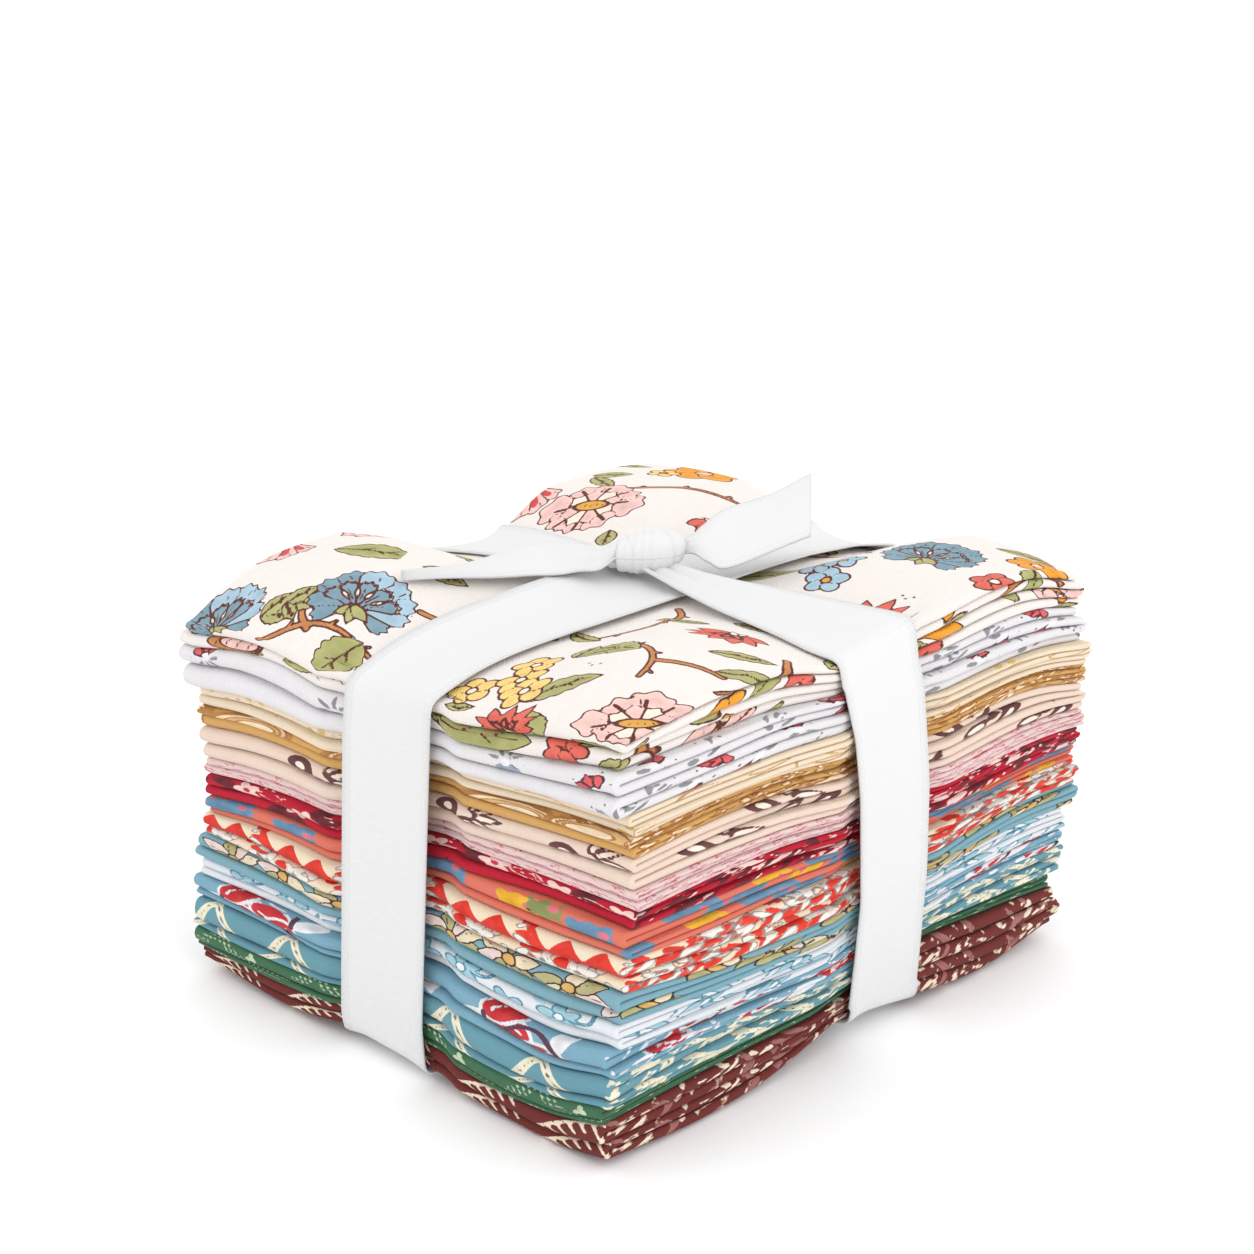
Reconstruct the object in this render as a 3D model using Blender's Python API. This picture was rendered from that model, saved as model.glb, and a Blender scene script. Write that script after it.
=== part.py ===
"""A fat quarter bundle: fifteen printed cotton fat quarters, each folded the same way,
stacked, and tied into a parcel with one length of white cotton twill tape.

Blender, metres, +Z up. The bundle rests on z = 0 with its footprint centred on the origin.
Sizes below are in millimetres; MM turns them into metres where a mesh is made.
"""

import math
from collections import namedtuple

import bmesh
import bpy
from mathutils import Matrix, Vector
from mathutils.geometry import convex_hull_2d

MM = 0.001

# A metric fat quarter is 500 x 560 mm. Folded in four both ways it is a pad of 125 x 140 mm.
FRONT_Y, BACK_Y = -70.0, 70.0
LEFT_X, RIGHT_X = -61.0, 62.0
STACK_HEIGHT = 92.0
LAYERS = 4  # the four thicknesses of the last, back-and-forth fold
LAYER_GAP = 0.36
BACK_EDGE_STEP = 1.6  # how far the two free ends stop short of the fold at the back
TURN_STEPS = 3

TAPE_WIDTH = 25.4
TAPE_THICK = 0.8
TAPE_GAP = 0.36
TAPE_X = 1.5  # centre of the loop that goes round front and back
TAPE_Y = 8.6  # centre of the loop that goes round left and right, at its sides
SIDE_LOOP_WIDTH = 21.5  # the knot draws this loop together a little

Colour = namedtuple("Colour", "red green blue")
Fabric = namedtuple("Fabric", "name thick left right front back colour")

# Top to bottom. thick is a share of the stack; left, right, front and back are how far that
# side stands out (+) or stays back (-) from the plain footprint.
FABRICS = (
    Fabric("fat_quarter_01_cream_floral", 8.4, 1.2, 1.5, -0.6, 0.8, Colour(0.90, 0.84, 0.76)),
    Fabric("fat_quarter_02_white_sprig", 8.4, 1.6, 2.5, -0.3, 0.2, Colour(0.86, 0.83, 0.84)),
    Fabric("fat_quarter_03_ivory_gold", 4.9, -0.4, 4.2, -1.8, 1.0, Colour(0.90, 0.79, 0.58)),
    Fabric("fat_quarter_04_gold_paisley", 4.4, -0.6, 3.5, -1.5, 1.8, Colour(0.77, 0.49, 0.19)),
    Fabric("fat_quarter_05_blush_brown", 6.4, -0.8, 4.0, -1.9, 0.4, Colour(0.90, 0.76, 0.68)),
    Fabric("fat_quarter_06_pink_lace", 4.0, -0.6, 4.8, -2.2, 1.2, Colour(0.88, 0.58, 0.60)),
    Fabric("fat_quarter_07_crimson", 4.4, -0.6, 4.0, -1.9, -0.4, Colour(0.58, 0.03, 0.06)),
    Fabric("fat_quarter_08_coral_blue", 5.6, -1.0, 2.6, -1.5, 0.9, Colour(0.84, 0.30, 0.22)),
    Fabric("fat_quarter_09_red_scallop", 6.2, 0.4, 3.4, -0.3, 0.0, Colour(0.80, 0.12, 0.08)),
    Fabric("fat_quarter_10_blue_floral", 6.8, 1.2, 3.0, 0.4, 1.4, Colour(0.36, 0.55, 0.62)),
    Fabric("fat_quarter_11_white_blue", 5.0, 0.6, 2.4, 0.0, -0.6, Colour(0.80, 0.86, 0.90)),
    Fabric("fat_quarter_12_blue_poppy", 5.2, 1.6, 1.4, 1.5, 0.6, Colour(0.38, 0.56, 0.66)),
    Fabric("fat_quarter_13_teal_vine", 7.2, 1.2, 1.0, 1.7, 1.2, Colour(0.24, 0.46, 0.52)),
    Fabric("fat_quarter_14_green_dot", 4.2, 1.4, -1.0, 2.0, 0.2, Colour(0.10, 0.30, 0.17)),
    Fabric("fat_quarter_15_maroon_vine", 8.6, 0.4, -0.6, 1.2, 0.8, Colour(0.26, 0.06, 0.06)),
)

# Where the tape pulls the stack in: stations across (x) and along (y). top and base are the
# shares of that loop's dent there; depth and lift are how deep the other loop's dent is
# there, in the top and in the base.
Station = namedtuple("Station", "at top base depth lift")
ACROSS = (
    Station(LEFT_X, 0.02, 0.0, 9.0, 4.2),
    Station(-34.0, 0.40, 0.0, 6.5, 3.6),
    Station(-12.0, 1.00, 1.0, 5.6, 3.0),
    Station(15.0, 1.00, 1.0, 5.6, 3.0),
    Station(38.0, 0.30, 0.0, 5.6, 3.8),
    Station(RIGHT_X, 0.00, 0.0, 6.5, 5.0),
)
ALONG = (
    Station(FRONT_Y, 0.00, 0.0, 10.0, 3.2),
    Station(-40.0, 0.10, 0.0, 7.0, 3.0),
    Station(-8.0, 1.00, 1.0, 5.6, 3.0),
    Station(20.0, 1.00, 1.0, 5.6, 3.0),
    Station(46.0, 0.10, 0.0, 6.5, 3.0),
    Station(BACK_Y, 0.00, 0.0, 9.0, 3.2),
)
CROSSING_SHARE = 0.1  # how much the shallower dent adds where two meet
EDGE_DROOP = 1.0  # the pads thin out this much at the sides of the top
Corner = namedtuple("Corner", "x y droop")
CORNERS = (
    Corner(LEFT_X, FRONT_Y, 3.6),
    Corner(RIGHT_X, FRONT_Y, 2.4),
    Corner(LEFT_X, BACK_Y, 0.6),
    Corner(RIGHT_X, BACK_Y, 1.0),
)

KNOT_CENTRE = (0.0, 3.0, 92.7)
KNOT_HALF = (8.4, 5.6, 4.0)  # along the knot, across it, up
KNOT_TURN = math.radians(42.0)
KNOT_SQUARENESS = 0.82
TOP_DEPTH = 16.0  # the tape counts as on the top down to this far below it
ARM_START = 4.5  # the side loop's arms reach this near the knot's centre
Arm = namedtuple("Arm", "away width middle")
# Along each arm from the knot: the tape's width, and where its middle lies along y.
RIGHT_ARM = (Arm(ARM_START, 7.0, 3.0), Arm(14.0, 11.0, 3.0), Arm(36.0, 21.5, 3.2))
LEFT_ARM = (Arm(ARM_START, 7.0, 3.0), Arm(20.0, 18.0, 4.8), Arm(36.0, 21.5, 7.0))

# The two free ends of the tape, from the knot outwards: the low edge and the high edge.
TailRow = namedtuple("TailRow", "low high")
TAIL_RIGHT = (
    TailRow((8.5, 8.7, 93.0), (4.5, 11.7, 94.8)),
    TailRow((13.4, 8.4, 91.9), (4.5, 17.2, 96.9)),
    TailRow((17.5, 9.2, 91.4), (4.7, 24.4, 98.8)),
    TailRow((22.5, 16.9, 94.2), (7.5, 34.3, 100.8)),
    TailRow((26.7, 25.5, 96.9), (10.4, 44.6, 103.5)),
)
TAIL_LEFT = (
    TailRow((-2.4, -8.6, 90.6), (-7.6, -3.2, 93.2)),
    TailRow((-6.8, -12.0, 89.8), (-14.6, -3.0, 92.4)),
    TailRow((-11.2, -18.0, 89.4), (-24.0, -5.9, 91.0)),
    TailRow((-16.2, -29.2, 90.2), (-23.4, -22.4, 91.2)),
    TailRow((-24.6, -42.6, 90.8), (-26.4, -41.0, 91.0)),
)
TAIL_THICK = 1.0
TAPE_COLOUR = Colour(0.92, 0.92, 0.93)


def clear_scene():
    for obj in list(bpy.data.objects):
        bpy.data.objects.remove(obj)


def material(name, colour, roughness):
    mat = bpy.data.materials.new(name)
    mat.use_nodes = True
    shader = mat.node_tree.nodes["Principled BSDF"]
    shader.inputs["Base Color"].default_value = (*colour, 1.0)
    shader.inputs["Roughness"].default_value = roughness
    shader.inputs["Metallic"].default_value = 0.0
    return mat


def mesh_object(name, points, faces, mat):
    mesh = bpy.data.meshes.new(name)
    mesh.from_pydata([Vector(p) * MM for p in points], [], faces)
    mesh.materials.append(mat)
    obj = bpy.data.objects.new(name, mesh)
    bpy.context.scene.collection.objects.link(obj)
    return obj


def face_outwards(obj):
    mesh = bmesh.new()
    mesh.from_mesh(obj.data)
    bmesh.ops.recalc_face_normals(mesh, faces=mesh.faces)
    mesh.to_mesh(obj.data)
    mesh.free()


def dent(across, along, share, depth):
    """How far the two loops dent the stack where two stations meet."""
    from_front_loop = getattr(across, share) * getattr(along, depth)
    from_side_loop = getattr(along, share) * getattr(across, depth)
    deeper = max(from_front_loop, from_side_loop)
    shallower = min(from_front_loop, from_side_loop)
    return deeper + CROSSING_SHARE * shallower


def top_at(i, j):
    """Height of the stack's top where across-station i meets along-station j."""
    height = STACK_HEIGHT - dent(ACROSS[i], ALONG[j], "top", "depth")
    at_side = i in (0, len(ACROSS) - 1) or j in (0, len(ALONG) - 1)
    if at_side:
        height -= EDGE_DROOP
    for corner in CORNERS:
        if corner.x == ACROSS[i].at and corner.y == ALONG[j].at:
            height -= corner.droop
    return height


def base_at(i, j):
    return dent(ACROSS[i], ALONG[j], "base", "lift")


def bracket(stations, value):
    """The station before value, and how far value is on towards the next, 0 to 1."""
    for k in range(len(stations) - 1):
        if value <= stations[k + 1].at:
            break
    low, high = stations[k].at, stations[k + 1].at
    return k, min(1.0, max(0.0, (value - low) / (high - low)))


def settled(x, y, height):
    """The point where cloth at this height of an even stack lies in the tied one."""
    i, u = bracket(ACROSS, x)
    j, v = bracket(ALONG, y)
    ends = []
    for surface in (base_at, top_at):
        near = surface(i, j) * (1 - u) + surface(i + 1, j) * u
        far = surface(i, j + 1) * (1 - u) + surface(i + 1, j + 1) * u
        ends.append(near * (1 - v) + far * v)
    base, top = ends
    return (x, y, base + (top - base) * height / STACK_HEIGHT)


def turn(y, top, bottom, outwards):
    """Points round the outside of a fold, from its top layer down to its lower one."""
    radius = (top - bottom) / 2
    middle = (top + bottom) / 2
    steps = range(1, TURN_STEPS)
    angles = [math.pi * k / TURN_STEPS for k in steps]
    return [
        (y + outwards * radius * math.sin(a), middle + radius * math.cos(a)) for a in angles
    ]


def folded_section(front, back, top, thick):
    """Outline, as (y, height), of cloth laid back and forth in four layers.

    Layers 0 and 1 join at the front, 1 and 2 at the back, 2 and 3 at the front.
    """
    pitch = thick / LAYERS
    layer = pitch - LAYER_GAP
    radius = layer + LAYER_GAP / 2
    inside = [s.at for s in ALONG[1:-1]]
    tops = [top - LAYER_GAP / 2 - k * pitch for k in range(LAYERS)]
    bottoms = [t - layer for t in tops]
    front_y, back_y = front + radius, back - radius
    free_y = back - BACK_EDGE_STEP
    going_back = [front_y, *inside, back_y]
    ending_free = [front_y, *inside, free_y]

    side = [(y, tops[0]) for y in reversed(ending_free)]
    side += turn(front_y, tops[0], bottoms[1], -1)
    side += [(y, bottoms[1]) for y in going_back]
    side += [(y, tops[2]) for y in reversed(going_back)]
    side += turn(front_y, tops[2], bottoms[3], -1)
    side += [(y, bottoms[3]) for y in ending_free]

    other = [(y, tops[3]) for y in reversed(ending_free)]
    other += [(y, bottoms[2]) for y in going_back]
    other += reversed(turn(back_y, tops[1], bottoms[2], 1))
    other += [(y, tops[1]) for y in reversed(going_back)]
    other += [(y, bottoms[0]) for y in ending_free]
    return side + other


def folded_fabric(fabric, top, thick):
    """One fat quarter: its folded section carried across the stack and settled in it."""
    section = folded_section(FRONT_Y - fabric.front, BACK_Y + fabric.back, top, thick)
    across = [LEFT_X - fabric.left]
    across += [s.at for s in ACROSS[1:-1]]
    across += [RIGHT_X + fabric.right]
    points = [settled(x, y, height) for x in across for y, height in section]
    count = len(section)
    faces = []
    for i in range(len(across) - 1):
        for k in range(count):
            following = (k + 1) % count
            a, b = i * count + k, i * count + following
            c, d = b + count, a + count
            # Every layer is split along the same diagonal, so that neighbours stay apart.
            if section[following][0] >= section[k][0]:
                faces += [(a, b, c), (a, c, d)]
            else:
                faces += [(a, b, d), (b, c, d)]
    faces.append(tuple(range(count)))
    faces.append(tuple(range(len(points) - 1, len(points) - 1 - count, -1)))
    cotton = material(fabric.name, fabric.colour, 0.9)
    obj = mesh_object(fabric.name, points, faces, cotton)
    face_outwards(obj)
    return points


def outset(loop, distance):
    """A closed, counter-clockwise convex loop moved out by an even distance."""
    moved = []
    for k, here in enumerate(loop):
        before = (here - loop[k - 1]).normalized()
        after = (loop[(k + 1) % len(loop)] - here).normalized()
        out_before = Vector((before.y, -before.x))
        out_after = Vector((after.y, -after.x))
        bisector = (out_before + out_after).normalized()
        moved.append(here + bisector * distance / max(0.3, bisector.dot(out_after)))
    return moved


def taut_loop(points):
    """The convex loop round a section's points: how taut tape lies round them."""
    flat = [Vector(p) for p in points]
    loop = [flat[k] for k in convex_hull_2d(flat)]
    turning = sum(
        loop[k - 1].x * loop[k].y - loop[k].x * loop[k - 1].y for k in range(len(loop))
    )
    return loop if turning > 0 else loop[::-1]


def strip_faces(rows, closed):
    """Faces of a solid strip whose rows each hold four corners."""
    faces = []
    for k in range(rows if closed else rows - 1):
        after = (k + 1) % rows
        for side in range(4):
            other = (side + 1) % 4
            faces.append((4 * k + side, 4 * k + other, 4 * after + other, 4 * after + side))
    if not closed:
        faces.append((3, 2, 1, 0))
        faces.append(tuple(4 * (rows - 1) + c for c in range(4)))
    return faces


def front_loop(stack):
    """The closed loop of tape round the front and the back. Returns it and its outer points."""
    section = [(y, z) for x, y, z in stack if ACROSS[2].at <= x <= ACROSS[3].at]
    inner = outset(taut_loop(section), TAPE_GAP)
    outer = outset(inner, TAPE_THICK)
    low, high = TAPE_X - TAPE_WIDTH / 2, TAPE_X + TAPE_WIDTH / 2
    points = []
    for near, far in zip(inner, outer):
        points += [
            (low, near.x, near.y),
            (high, near.x, near.y),
            (high, far.x, far.y),
            (low, far.x, far.y),
        ]
    obj = mesh_object("tape_front_loop", points, strip_faces(len(inner), True), None)
    return obj, outer


def level_at(loop, value, highest):
    """The loop's height where it passes value, on its upper or its lower side."""
    found = []
    for k, here in enumerate(loop):
        last = loop[k - 1]
        if min(last.x, here.x) <= value <= max(last.x, here.x) and here.x != last.x:
            share = (value - last.x) / (here.x - last.x)
            found.append(last.y + share * (here.y - last.y))
    return max(found) if highest else min(found)


def along_arm(arm, away):
    """The tape's width and the y of its middle, this far from the knot along an arm."""
    for near, far in zip(arm, arm[1:]):
        if away <= far.away:
            share = max(0.0, (away - near.away) / (far.away - near.away))
            width = near.width + share * (far.width - near.width)
            return width, near.middle + share * (far.middle - near.middle)
    return arm[-1].width, arm[-1].middle


def with_stops(loop, stops):
    """The loop with a point added on its upper side at every stop along x."""
    dense = []
    for k, here in enumerate(loop):
        after = loop[(k + 1) % len(loop)]
        dense.append(here)
        if here.y < STACK_HEIGHT / 2 or after.y < STACK_HEIGHT / 2:
            continue
        # The loop is counter-clockwise, so its upper side runs towards -x.
        for x in sorted((x for x in stops if after.x < x < here.x), reverse=True):
            share = (here.x - x) / (here.x - after.x)
            dense.append(here.lerp(after, share))
    return dense


def side_loop(stack, under):
    """The loop of tape round left and right, open at the knot and gathered towards it."""
    section = [(x, z) for x, y, z in stack if ALONG[2].at <= y <= ALONG[3].at]
    for x in (TAPE_X - TAPE_WIDTH / 2, TAPE_X + TAPE_WIDTH / 2):
        for y in (ALONG[2].at, ALONG[3].at):
            section.append((x, level_at(under, y, True)))
            section.append((x, level_at(under, y, False)))
    knot_x = KNOT_CENTRE[0]
    stops = [knot_x + arm.away for arm in RIGHT_ARM]
    stops += [knot_x - arm.away for arm in LEFT_ARM]
    inner = with_stops(outset(taut_loop(section), TAPE_GAP), stops)
    outer = outset(inner, TAPE_THICK)
    pairs = [
        (near, far)
        for near, far in zip(inner, outer)
        if near.y < STACK_HEIGHT / 2 or abs(near.x - knot_x) > ARM_START - 0.01
    ]
    # The strip runs from the left arm down, under, and up to the right arm.
    first = next(
        k
        for k, (near, far) in enumerate(pairs)
        if near.x < knot_x < pairs[k - 1][0].x and near.y > STACK_HEIGHT / 2
    )
    points = []
    for near, far in pairs[first:] + pairs[:first]:
        width, middle = SIDE_LOOP_WIDTH, TAPE_Y
        if near.y > STACK_HEIGHT - TOP_DEPTH:
            arm = RIGHT_ARM if near.x > knot_x else LEFT_ARM
            width, middle = along_arm(arm, abs(near.x - knot_x))
        points += [
            (near.x, middle - width / 2, near.y),
            (near.x, middle + width / 2, near.y),
            (far.x, middle + width / 2, far.y),
            (far.x, middle - width / 2, far.y),
        ]
    return mesh_object("tape_side_loop", points, strip_faces(len(pairs), False), None)


def knot():
    """The single knot, drawn down tight: a rounded lump longer than it is wide."""
    mesh = bmesh.new()
    bmesh.ops.create_icosphere(mesh, subdivisions=3, radius=1.0)
    for vert in mesh.verts:
        shape = [math.copysign(abs(c) ** KNOT_SQUARENESS, c) for c in vert.co]
        vert.co = Vector(c * half for c, half in zip(shape, KNOT_HALF))
    mesh.transform(Matrix.Rotation(KNOT_TURN, 4, "Z"))
    mesh.transform(Matrix.Translation(KNOT_CENTRE))
    mesh.transform(Matrix.Scale(MM, 4))
    data = bpy.data.meshes.new("tape_knot")
    mesh.to_mesh(data)
    mesh.free()
    obj = bpy.data.objects.new("tape_knot", data)
    bpy.context.scene.collection.objects.link(obj)
    return obj


def tail(name, rows):
    """One free end of the tape, as a thin solid ribbon."""
    points = []
    for k, row in enumerate(rows):
        low, high = Vector(row.low), Vector(row.high)
        before, after = rows[max(0, k - 1)], rows[min(len(rows) - 1, k + 1)]
        along = Vector(after.low) + Vector(after.high) - Vector(before.low) - Vector(before.high)
        half = along.cross(high - low).normalized() * TAIL_THICK / 2
        points += [low - half, high - half, high + half, low + half]
    return mesh_object(name, points, strip_faces(len(rows), False), None)


def stand_on_origin(objects):
    """Moves everything so that the footprint is centred and the lowest point is at 0."""
    points = [vert.co for obj in objects for vert in obj.data.vertices]
    low = Vector(min(p[axis] for p in points) for axis in range(3))
    high = Vector(max(p[axis] for p in points) for axis in range(3))
    middle = (low + high) / 2
    for obj in objects:
        obj.data.transform(Matrix.Translation((-middle.x, -middle.y, -low.z)))


def main():
    clear_scene()
    stack = []
    top = STACK_HEIGHT
    scale = STACK_HEIGHT / sum(f.thick for f in FABRICS)
    for fabric in FABRICS:
        thick = fabric.thick * scale
        stack += folded_fabric(fabric, top, thick)
        top -= thick
    front, under = front_loop(stack)
    tape = [front, side_loop(stack, under), knot()]
    tape.append(tail("tape_tail_left", TAIL_LEFT))
    tape.append(tail("tape_tail_right", TAIL_RIGHT))
    for obj in tape:
        obj.data.materials.clear()
        obj.data.materials.append(material(obj.name, TAPE_COLOUR, 0.85))
        face_outwards(obj)
    stand_on_origin(list(bpy.data.objects))


main()
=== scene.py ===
import math
from collections import namedtuple

import bmesh
import bpy
import numpy as np
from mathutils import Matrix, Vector
from mathutils.geometry import convex_hull_2d


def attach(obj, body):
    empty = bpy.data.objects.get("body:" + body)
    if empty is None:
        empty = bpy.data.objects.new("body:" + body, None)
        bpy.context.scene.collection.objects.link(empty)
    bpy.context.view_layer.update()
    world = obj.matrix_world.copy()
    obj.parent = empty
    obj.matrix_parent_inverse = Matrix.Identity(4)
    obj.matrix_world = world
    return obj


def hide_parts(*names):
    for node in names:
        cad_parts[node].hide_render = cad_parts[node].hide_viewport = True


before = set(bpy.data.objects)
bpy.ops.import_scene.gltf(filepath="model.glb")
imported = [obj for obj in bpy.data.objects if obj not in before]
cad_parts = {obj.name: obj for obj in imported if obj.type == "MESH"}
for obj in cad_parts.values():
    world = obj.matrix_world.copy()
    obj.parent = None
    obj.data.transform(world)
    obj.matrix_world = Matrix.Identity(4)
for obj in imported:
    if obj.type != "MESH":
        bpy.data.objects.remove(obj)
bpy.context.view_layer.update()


# ---------------------------------------------------------------- the camera
# A longish lens looks down a little on one corner of the bundle, so that the front, with its
# thick rolled folds, shows on the left and the side, with its thin ones, on the right.

MM = 0.001
CAMERA_AIM = Vector((-2.1, 0.1, 45.0)) * MM
CAMERA_AWAY = 517 * MM
CAMERA_ROUND, CAMERA_ABOVE = math.radians(44.3), math.radians(21.1)
lens = bpy.data.cameras.new("camera")
lens.lens, lens.sensor_width = 68.4, 36.0
lens.shift_x, lens.shift_y = -0.0056, 0.1108
lens.clip_start, lens.clip_end = 0.01, 20.0
camera = bpy.data.objects.new("camera", lens)
bpy.context.scene.collection.objects.link(camera)
towards_camera = Vector((
    math.sin(CAMERA_ROUND) * math.cos(CAMERA_ABOVE),
    -math.cos(CAMERA_ROUND) * math.cos(CAMERA_ABOVE),
    math.sin(CAMERA_ABOVE),
))
camera.location = CAMERA_AIM + towards_camera * CAMERA_AWAY
camera.rotation_euler = towards_camera.to_track_quat("Z", "Y").to_euler()
bpy.context.scene.camera = camera


# --------------------------------------------------- the floor and the light
# A plain white sweep in a bright room, with a soft lamp on the right and a weaker one above the
# left shoulder, so the folds shade softly and nothing throws a hard shadow.

FLOOR_SIZE = 6.0
ROOM_BRIGHTNESS = 1.22
bpy.context.scene.view_settings.view_transform = "Standard"
floor_mesh = bpy.data.meshes.new("floor")
half = FLOOR_SIZE / 2
floor_mesh.from_pydata(
    [(-half, -half, 0), (half, -half, 0), (half, half, 0), (-half, half, 0)], [], [(0, 1, 2, 3)]
)
floor = bpy.data.objects.new("floor", floor_mesh)
bpy.context.scene.collection.objects.link(floor)
floor_paper = bpy.data.materials.new("white_paper")
floor_paper.use_nodes = True
paper_shader = floor_paper.node_tree.nodes["Principled BSDF"]
paper_shader.inputs["Base Color"].default_value = (0.98, 0.98, 0.98, 1)
paper_shader.inputs["Roughness"].default_value = 0.9
floor_mesh.materials.append(floor_paper)

room = bpy.data.worlds.new("bright_room")
room.use_nodes = True
room_light = room.node_tree.nodes["Background"]
room_light.inputs["Color"].default_value = (1.0, 1.0, 1.0, 1)
room_light.inputs["Strength"].default_value = ROOM_BRIGHTNESS
bpy.context.scene.world = room

Lamp = namedtuple("Lamp", "name place size watts")
LAMPS = (
    Lamp("lamp_over_left", (-0.55, -0.75, 0.95), 0.5, 0.5),
    Lamp("lamp_right", (0.9, -0.1, 0.7), 0.6, 2.0),
)
for lamp in LAMPS:
    light = bpy.data.lights.new(lamp.name, "AREA")
    light.size, light.energy = lamp.size, lamp.watts
    holder = bpy.data.objects.new(lamp.name, light)
    bpy.context.scene.collection.objects.link(holder)
    holder.location = lamp.place
    holder.rotation_euler = (Vector(lamp.place) - CAMERA_AIM).to_track_quat("Z", "Y").to_euler()


# ------------------------------------------------- the pile of fat quarters
# Fifteen cotton fat quarters, 500 x 560 mm, each folded in half and in half again across, then
# back and forth in four along its length: 16 thicknesses in a pad of 125 x 140 mm. The tape
# draws the pile in along two lines, and it swells into four soft lobes between them.

CUT_WIDTH, CUT_LENGTH = 500.0, 560.0
LEFT, RIGHT, FRONT, BACK = -63.6, 60.2, -69.6, 69.8

# Heights of each course of the pile, at places along the front and along the right side. A
# course is one to three fat quarters that share its height between them.
ALONG_FRONT = (-63, -35, -14, 11, 32, 47, 60)
ALONG_SIDE = (-70, -46, -29, -2, 20, 46, 70)
Course = namedtuple("Course", "front side")
UNDERSIDE = Course((3.0, 1.2, 3.4, 2.6, 0.6, 0.3, 2.2), (2.2, 0.6, 1.4, 6.2, 3.6, 1.0, 4.0))
COURSES = (
    Course((6.1, 6.8, 7.6, 7.9, 6.6, 7.4, 10.2), (10.2, 10.4, 10.4, 10.9, 15.8, 15.0, 13.6)),
    Course((18.5, 18.0, 17.7, 19.4, 18.5, 17.9, 20.4), (20.4, 20.2, 19.2, 18.4, 23.3, 24.7, 24.4)),
    Course((33.7, 32.4, 31.6, 37.3, 36.7, 37.0, 38.0), (38.0, 35.2, 34.6, 34.8, 37.5, 40.3, 40.6)),
    Course((42.4, 42.5, 42.8, 47.5, 48.7, 49.3, 49.7), (49.7, 49.6, 49.4, 47.3, 47.3, 48.6, 50.1)),
    Course((59.3, 58.1, 57.1, 60.4, 62.2, 63.3, 64.0), (64.0, 65.3, 64.9, 62.2, 64.1, 65.9, 64.2)),
    Course((69.1, 67.7, 66.3, 68.1, 69.6, 71.0, 71.9), (71.9, 72.7, 73.1, 71.9, 72.6, 73.8, 73.5)),
    Course((78.7, 77.4, 73.9, 74.2, 76.2, 78.1, 80.2), (80.2, 80.5, 80.7, 78.9, 81.1, 82.7, 81.2)),
    Course((84.0, 81.8, 78.9, 80.1, 83.2, 85.9, 86.8), (86.8, 90.0, 89.8, 84.8, 89.6, 92.0, 88.8)),
)

# course: which of COURSES holds it; share: its part of that course's height. left, right,
# front and back: how far it stands out past the plain footprint, or stays back. lower: the
# share of its height that its lower roll takes at the front.
Pad = namedtuple("Pad", "course share left right front back seed lower")
PADS = {
    "fat_quarter_15_maroon_vine": Pad(0, 1.00, 0.4, -0.6, 1.2, 0.8, 15, 0.45),
    "fat_quarter_14_green_dot": Pad(1, 0.40, 1.4, -1.0, 2.0, 0.2, 14, 0.3),
    "fat_quarter_13_teal_vine": Pad(1, 0.60, 1.2, 1.0, 1.7, 1.2, 13, 0.24),
    "fat_quarter_12_blue_poppy": Pad(2, 0.33, 1.6, 1.4, 1.5, 0.6, 12, 0.32),
    "fat_quarter_11_white_blue": Pad(2, 0.30, 0.6, 2.4, 0.0, -0.6, 11, 0.45),
    "fat_quarter_10_blue_floral": Pad(2, 0.37, 1.2, 3.0, 0.4, 1.4, 10, 0.42),
    "fat_quarter_09_red_scallop": Pad(3, 0.56, 0.4, 3.4, -0.3, 0.0, 9, 0.4),
    "fat_quarter_08_coral_blue": Pad(3, 0.44, -1.0, 2.6, -1.5, 0.9, 8, 0.38),
    "fat_quarter_07_crimson": Pad(4, 0.31, -0.6, 4.0, -1.9, -0.4, 7, 0.5),
    "fat_quarter_06_pink_lace": Pad(4, 0.25, -0.6, 4.8, -2.2, 1.2, 6, 0.5),
    "fat_quarter_05_blush_brown": Pad(4, 0.44, -0.8, 4.0, -1.9, 0.4, 5, 0.48),
    "fat_quarter_04_gold_paisley": Pad(5, 0.48, -0.6, 3.5, -1.5, 1.8, 4, 0.6),
    "fat_quarter_03_ivory_gold": Pad(5, 0.52, -0.4, 4.2, -1.8, 1.0, 3, 0.46),
    "fat_quarter_02_white_sprig": Pad(6, 1.00, 1.6, 2.5, -0.3, 0.2, 2, 0.5),
    "fat_quarter_01_cream_floral": Pad(7, 1.00, 1.2, 1.5, -0.6, 0.8, 1, 0.56),
}

LOFT = 92.2  # height of the lobes' tops
EDGE_ROUNDING = 11.0  # the top curves down to its edges over about this far
# How deep the top dips under the tape, at these places along the front turn and the side turn.
FRONT_TURN_DIP = ((-70, -40, 4, 40, 70), (9.0, 6.8, 5.4, 6.6, 9.5))
SIDE_TURN_DIP = ((-64, -35, 0, 35, 61), (9.5, 7.4, 5.4, 5.8, 6.4))
BASE_ARCH = 3.2  # how far the underside lifts where the tape passes under it


def ripple(a, b, seed, reach):
    """Soft unevenness over a and b, about -1 to 1, with waves near this long."""
    draw = np.random.default_rng(seed)
    total = 0.0
    for _ in range(6):
        turn, phase = draw.uniform(0, 2 * math.pi, 2)
        wave = reach * draw.uniform(0.6, 1.7)
        total = total + np.sin(2 * math.pi * (a * math.cos(turn) + b * math.sin(turn)) / wave + phase)
    return total / 3.0


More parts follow.
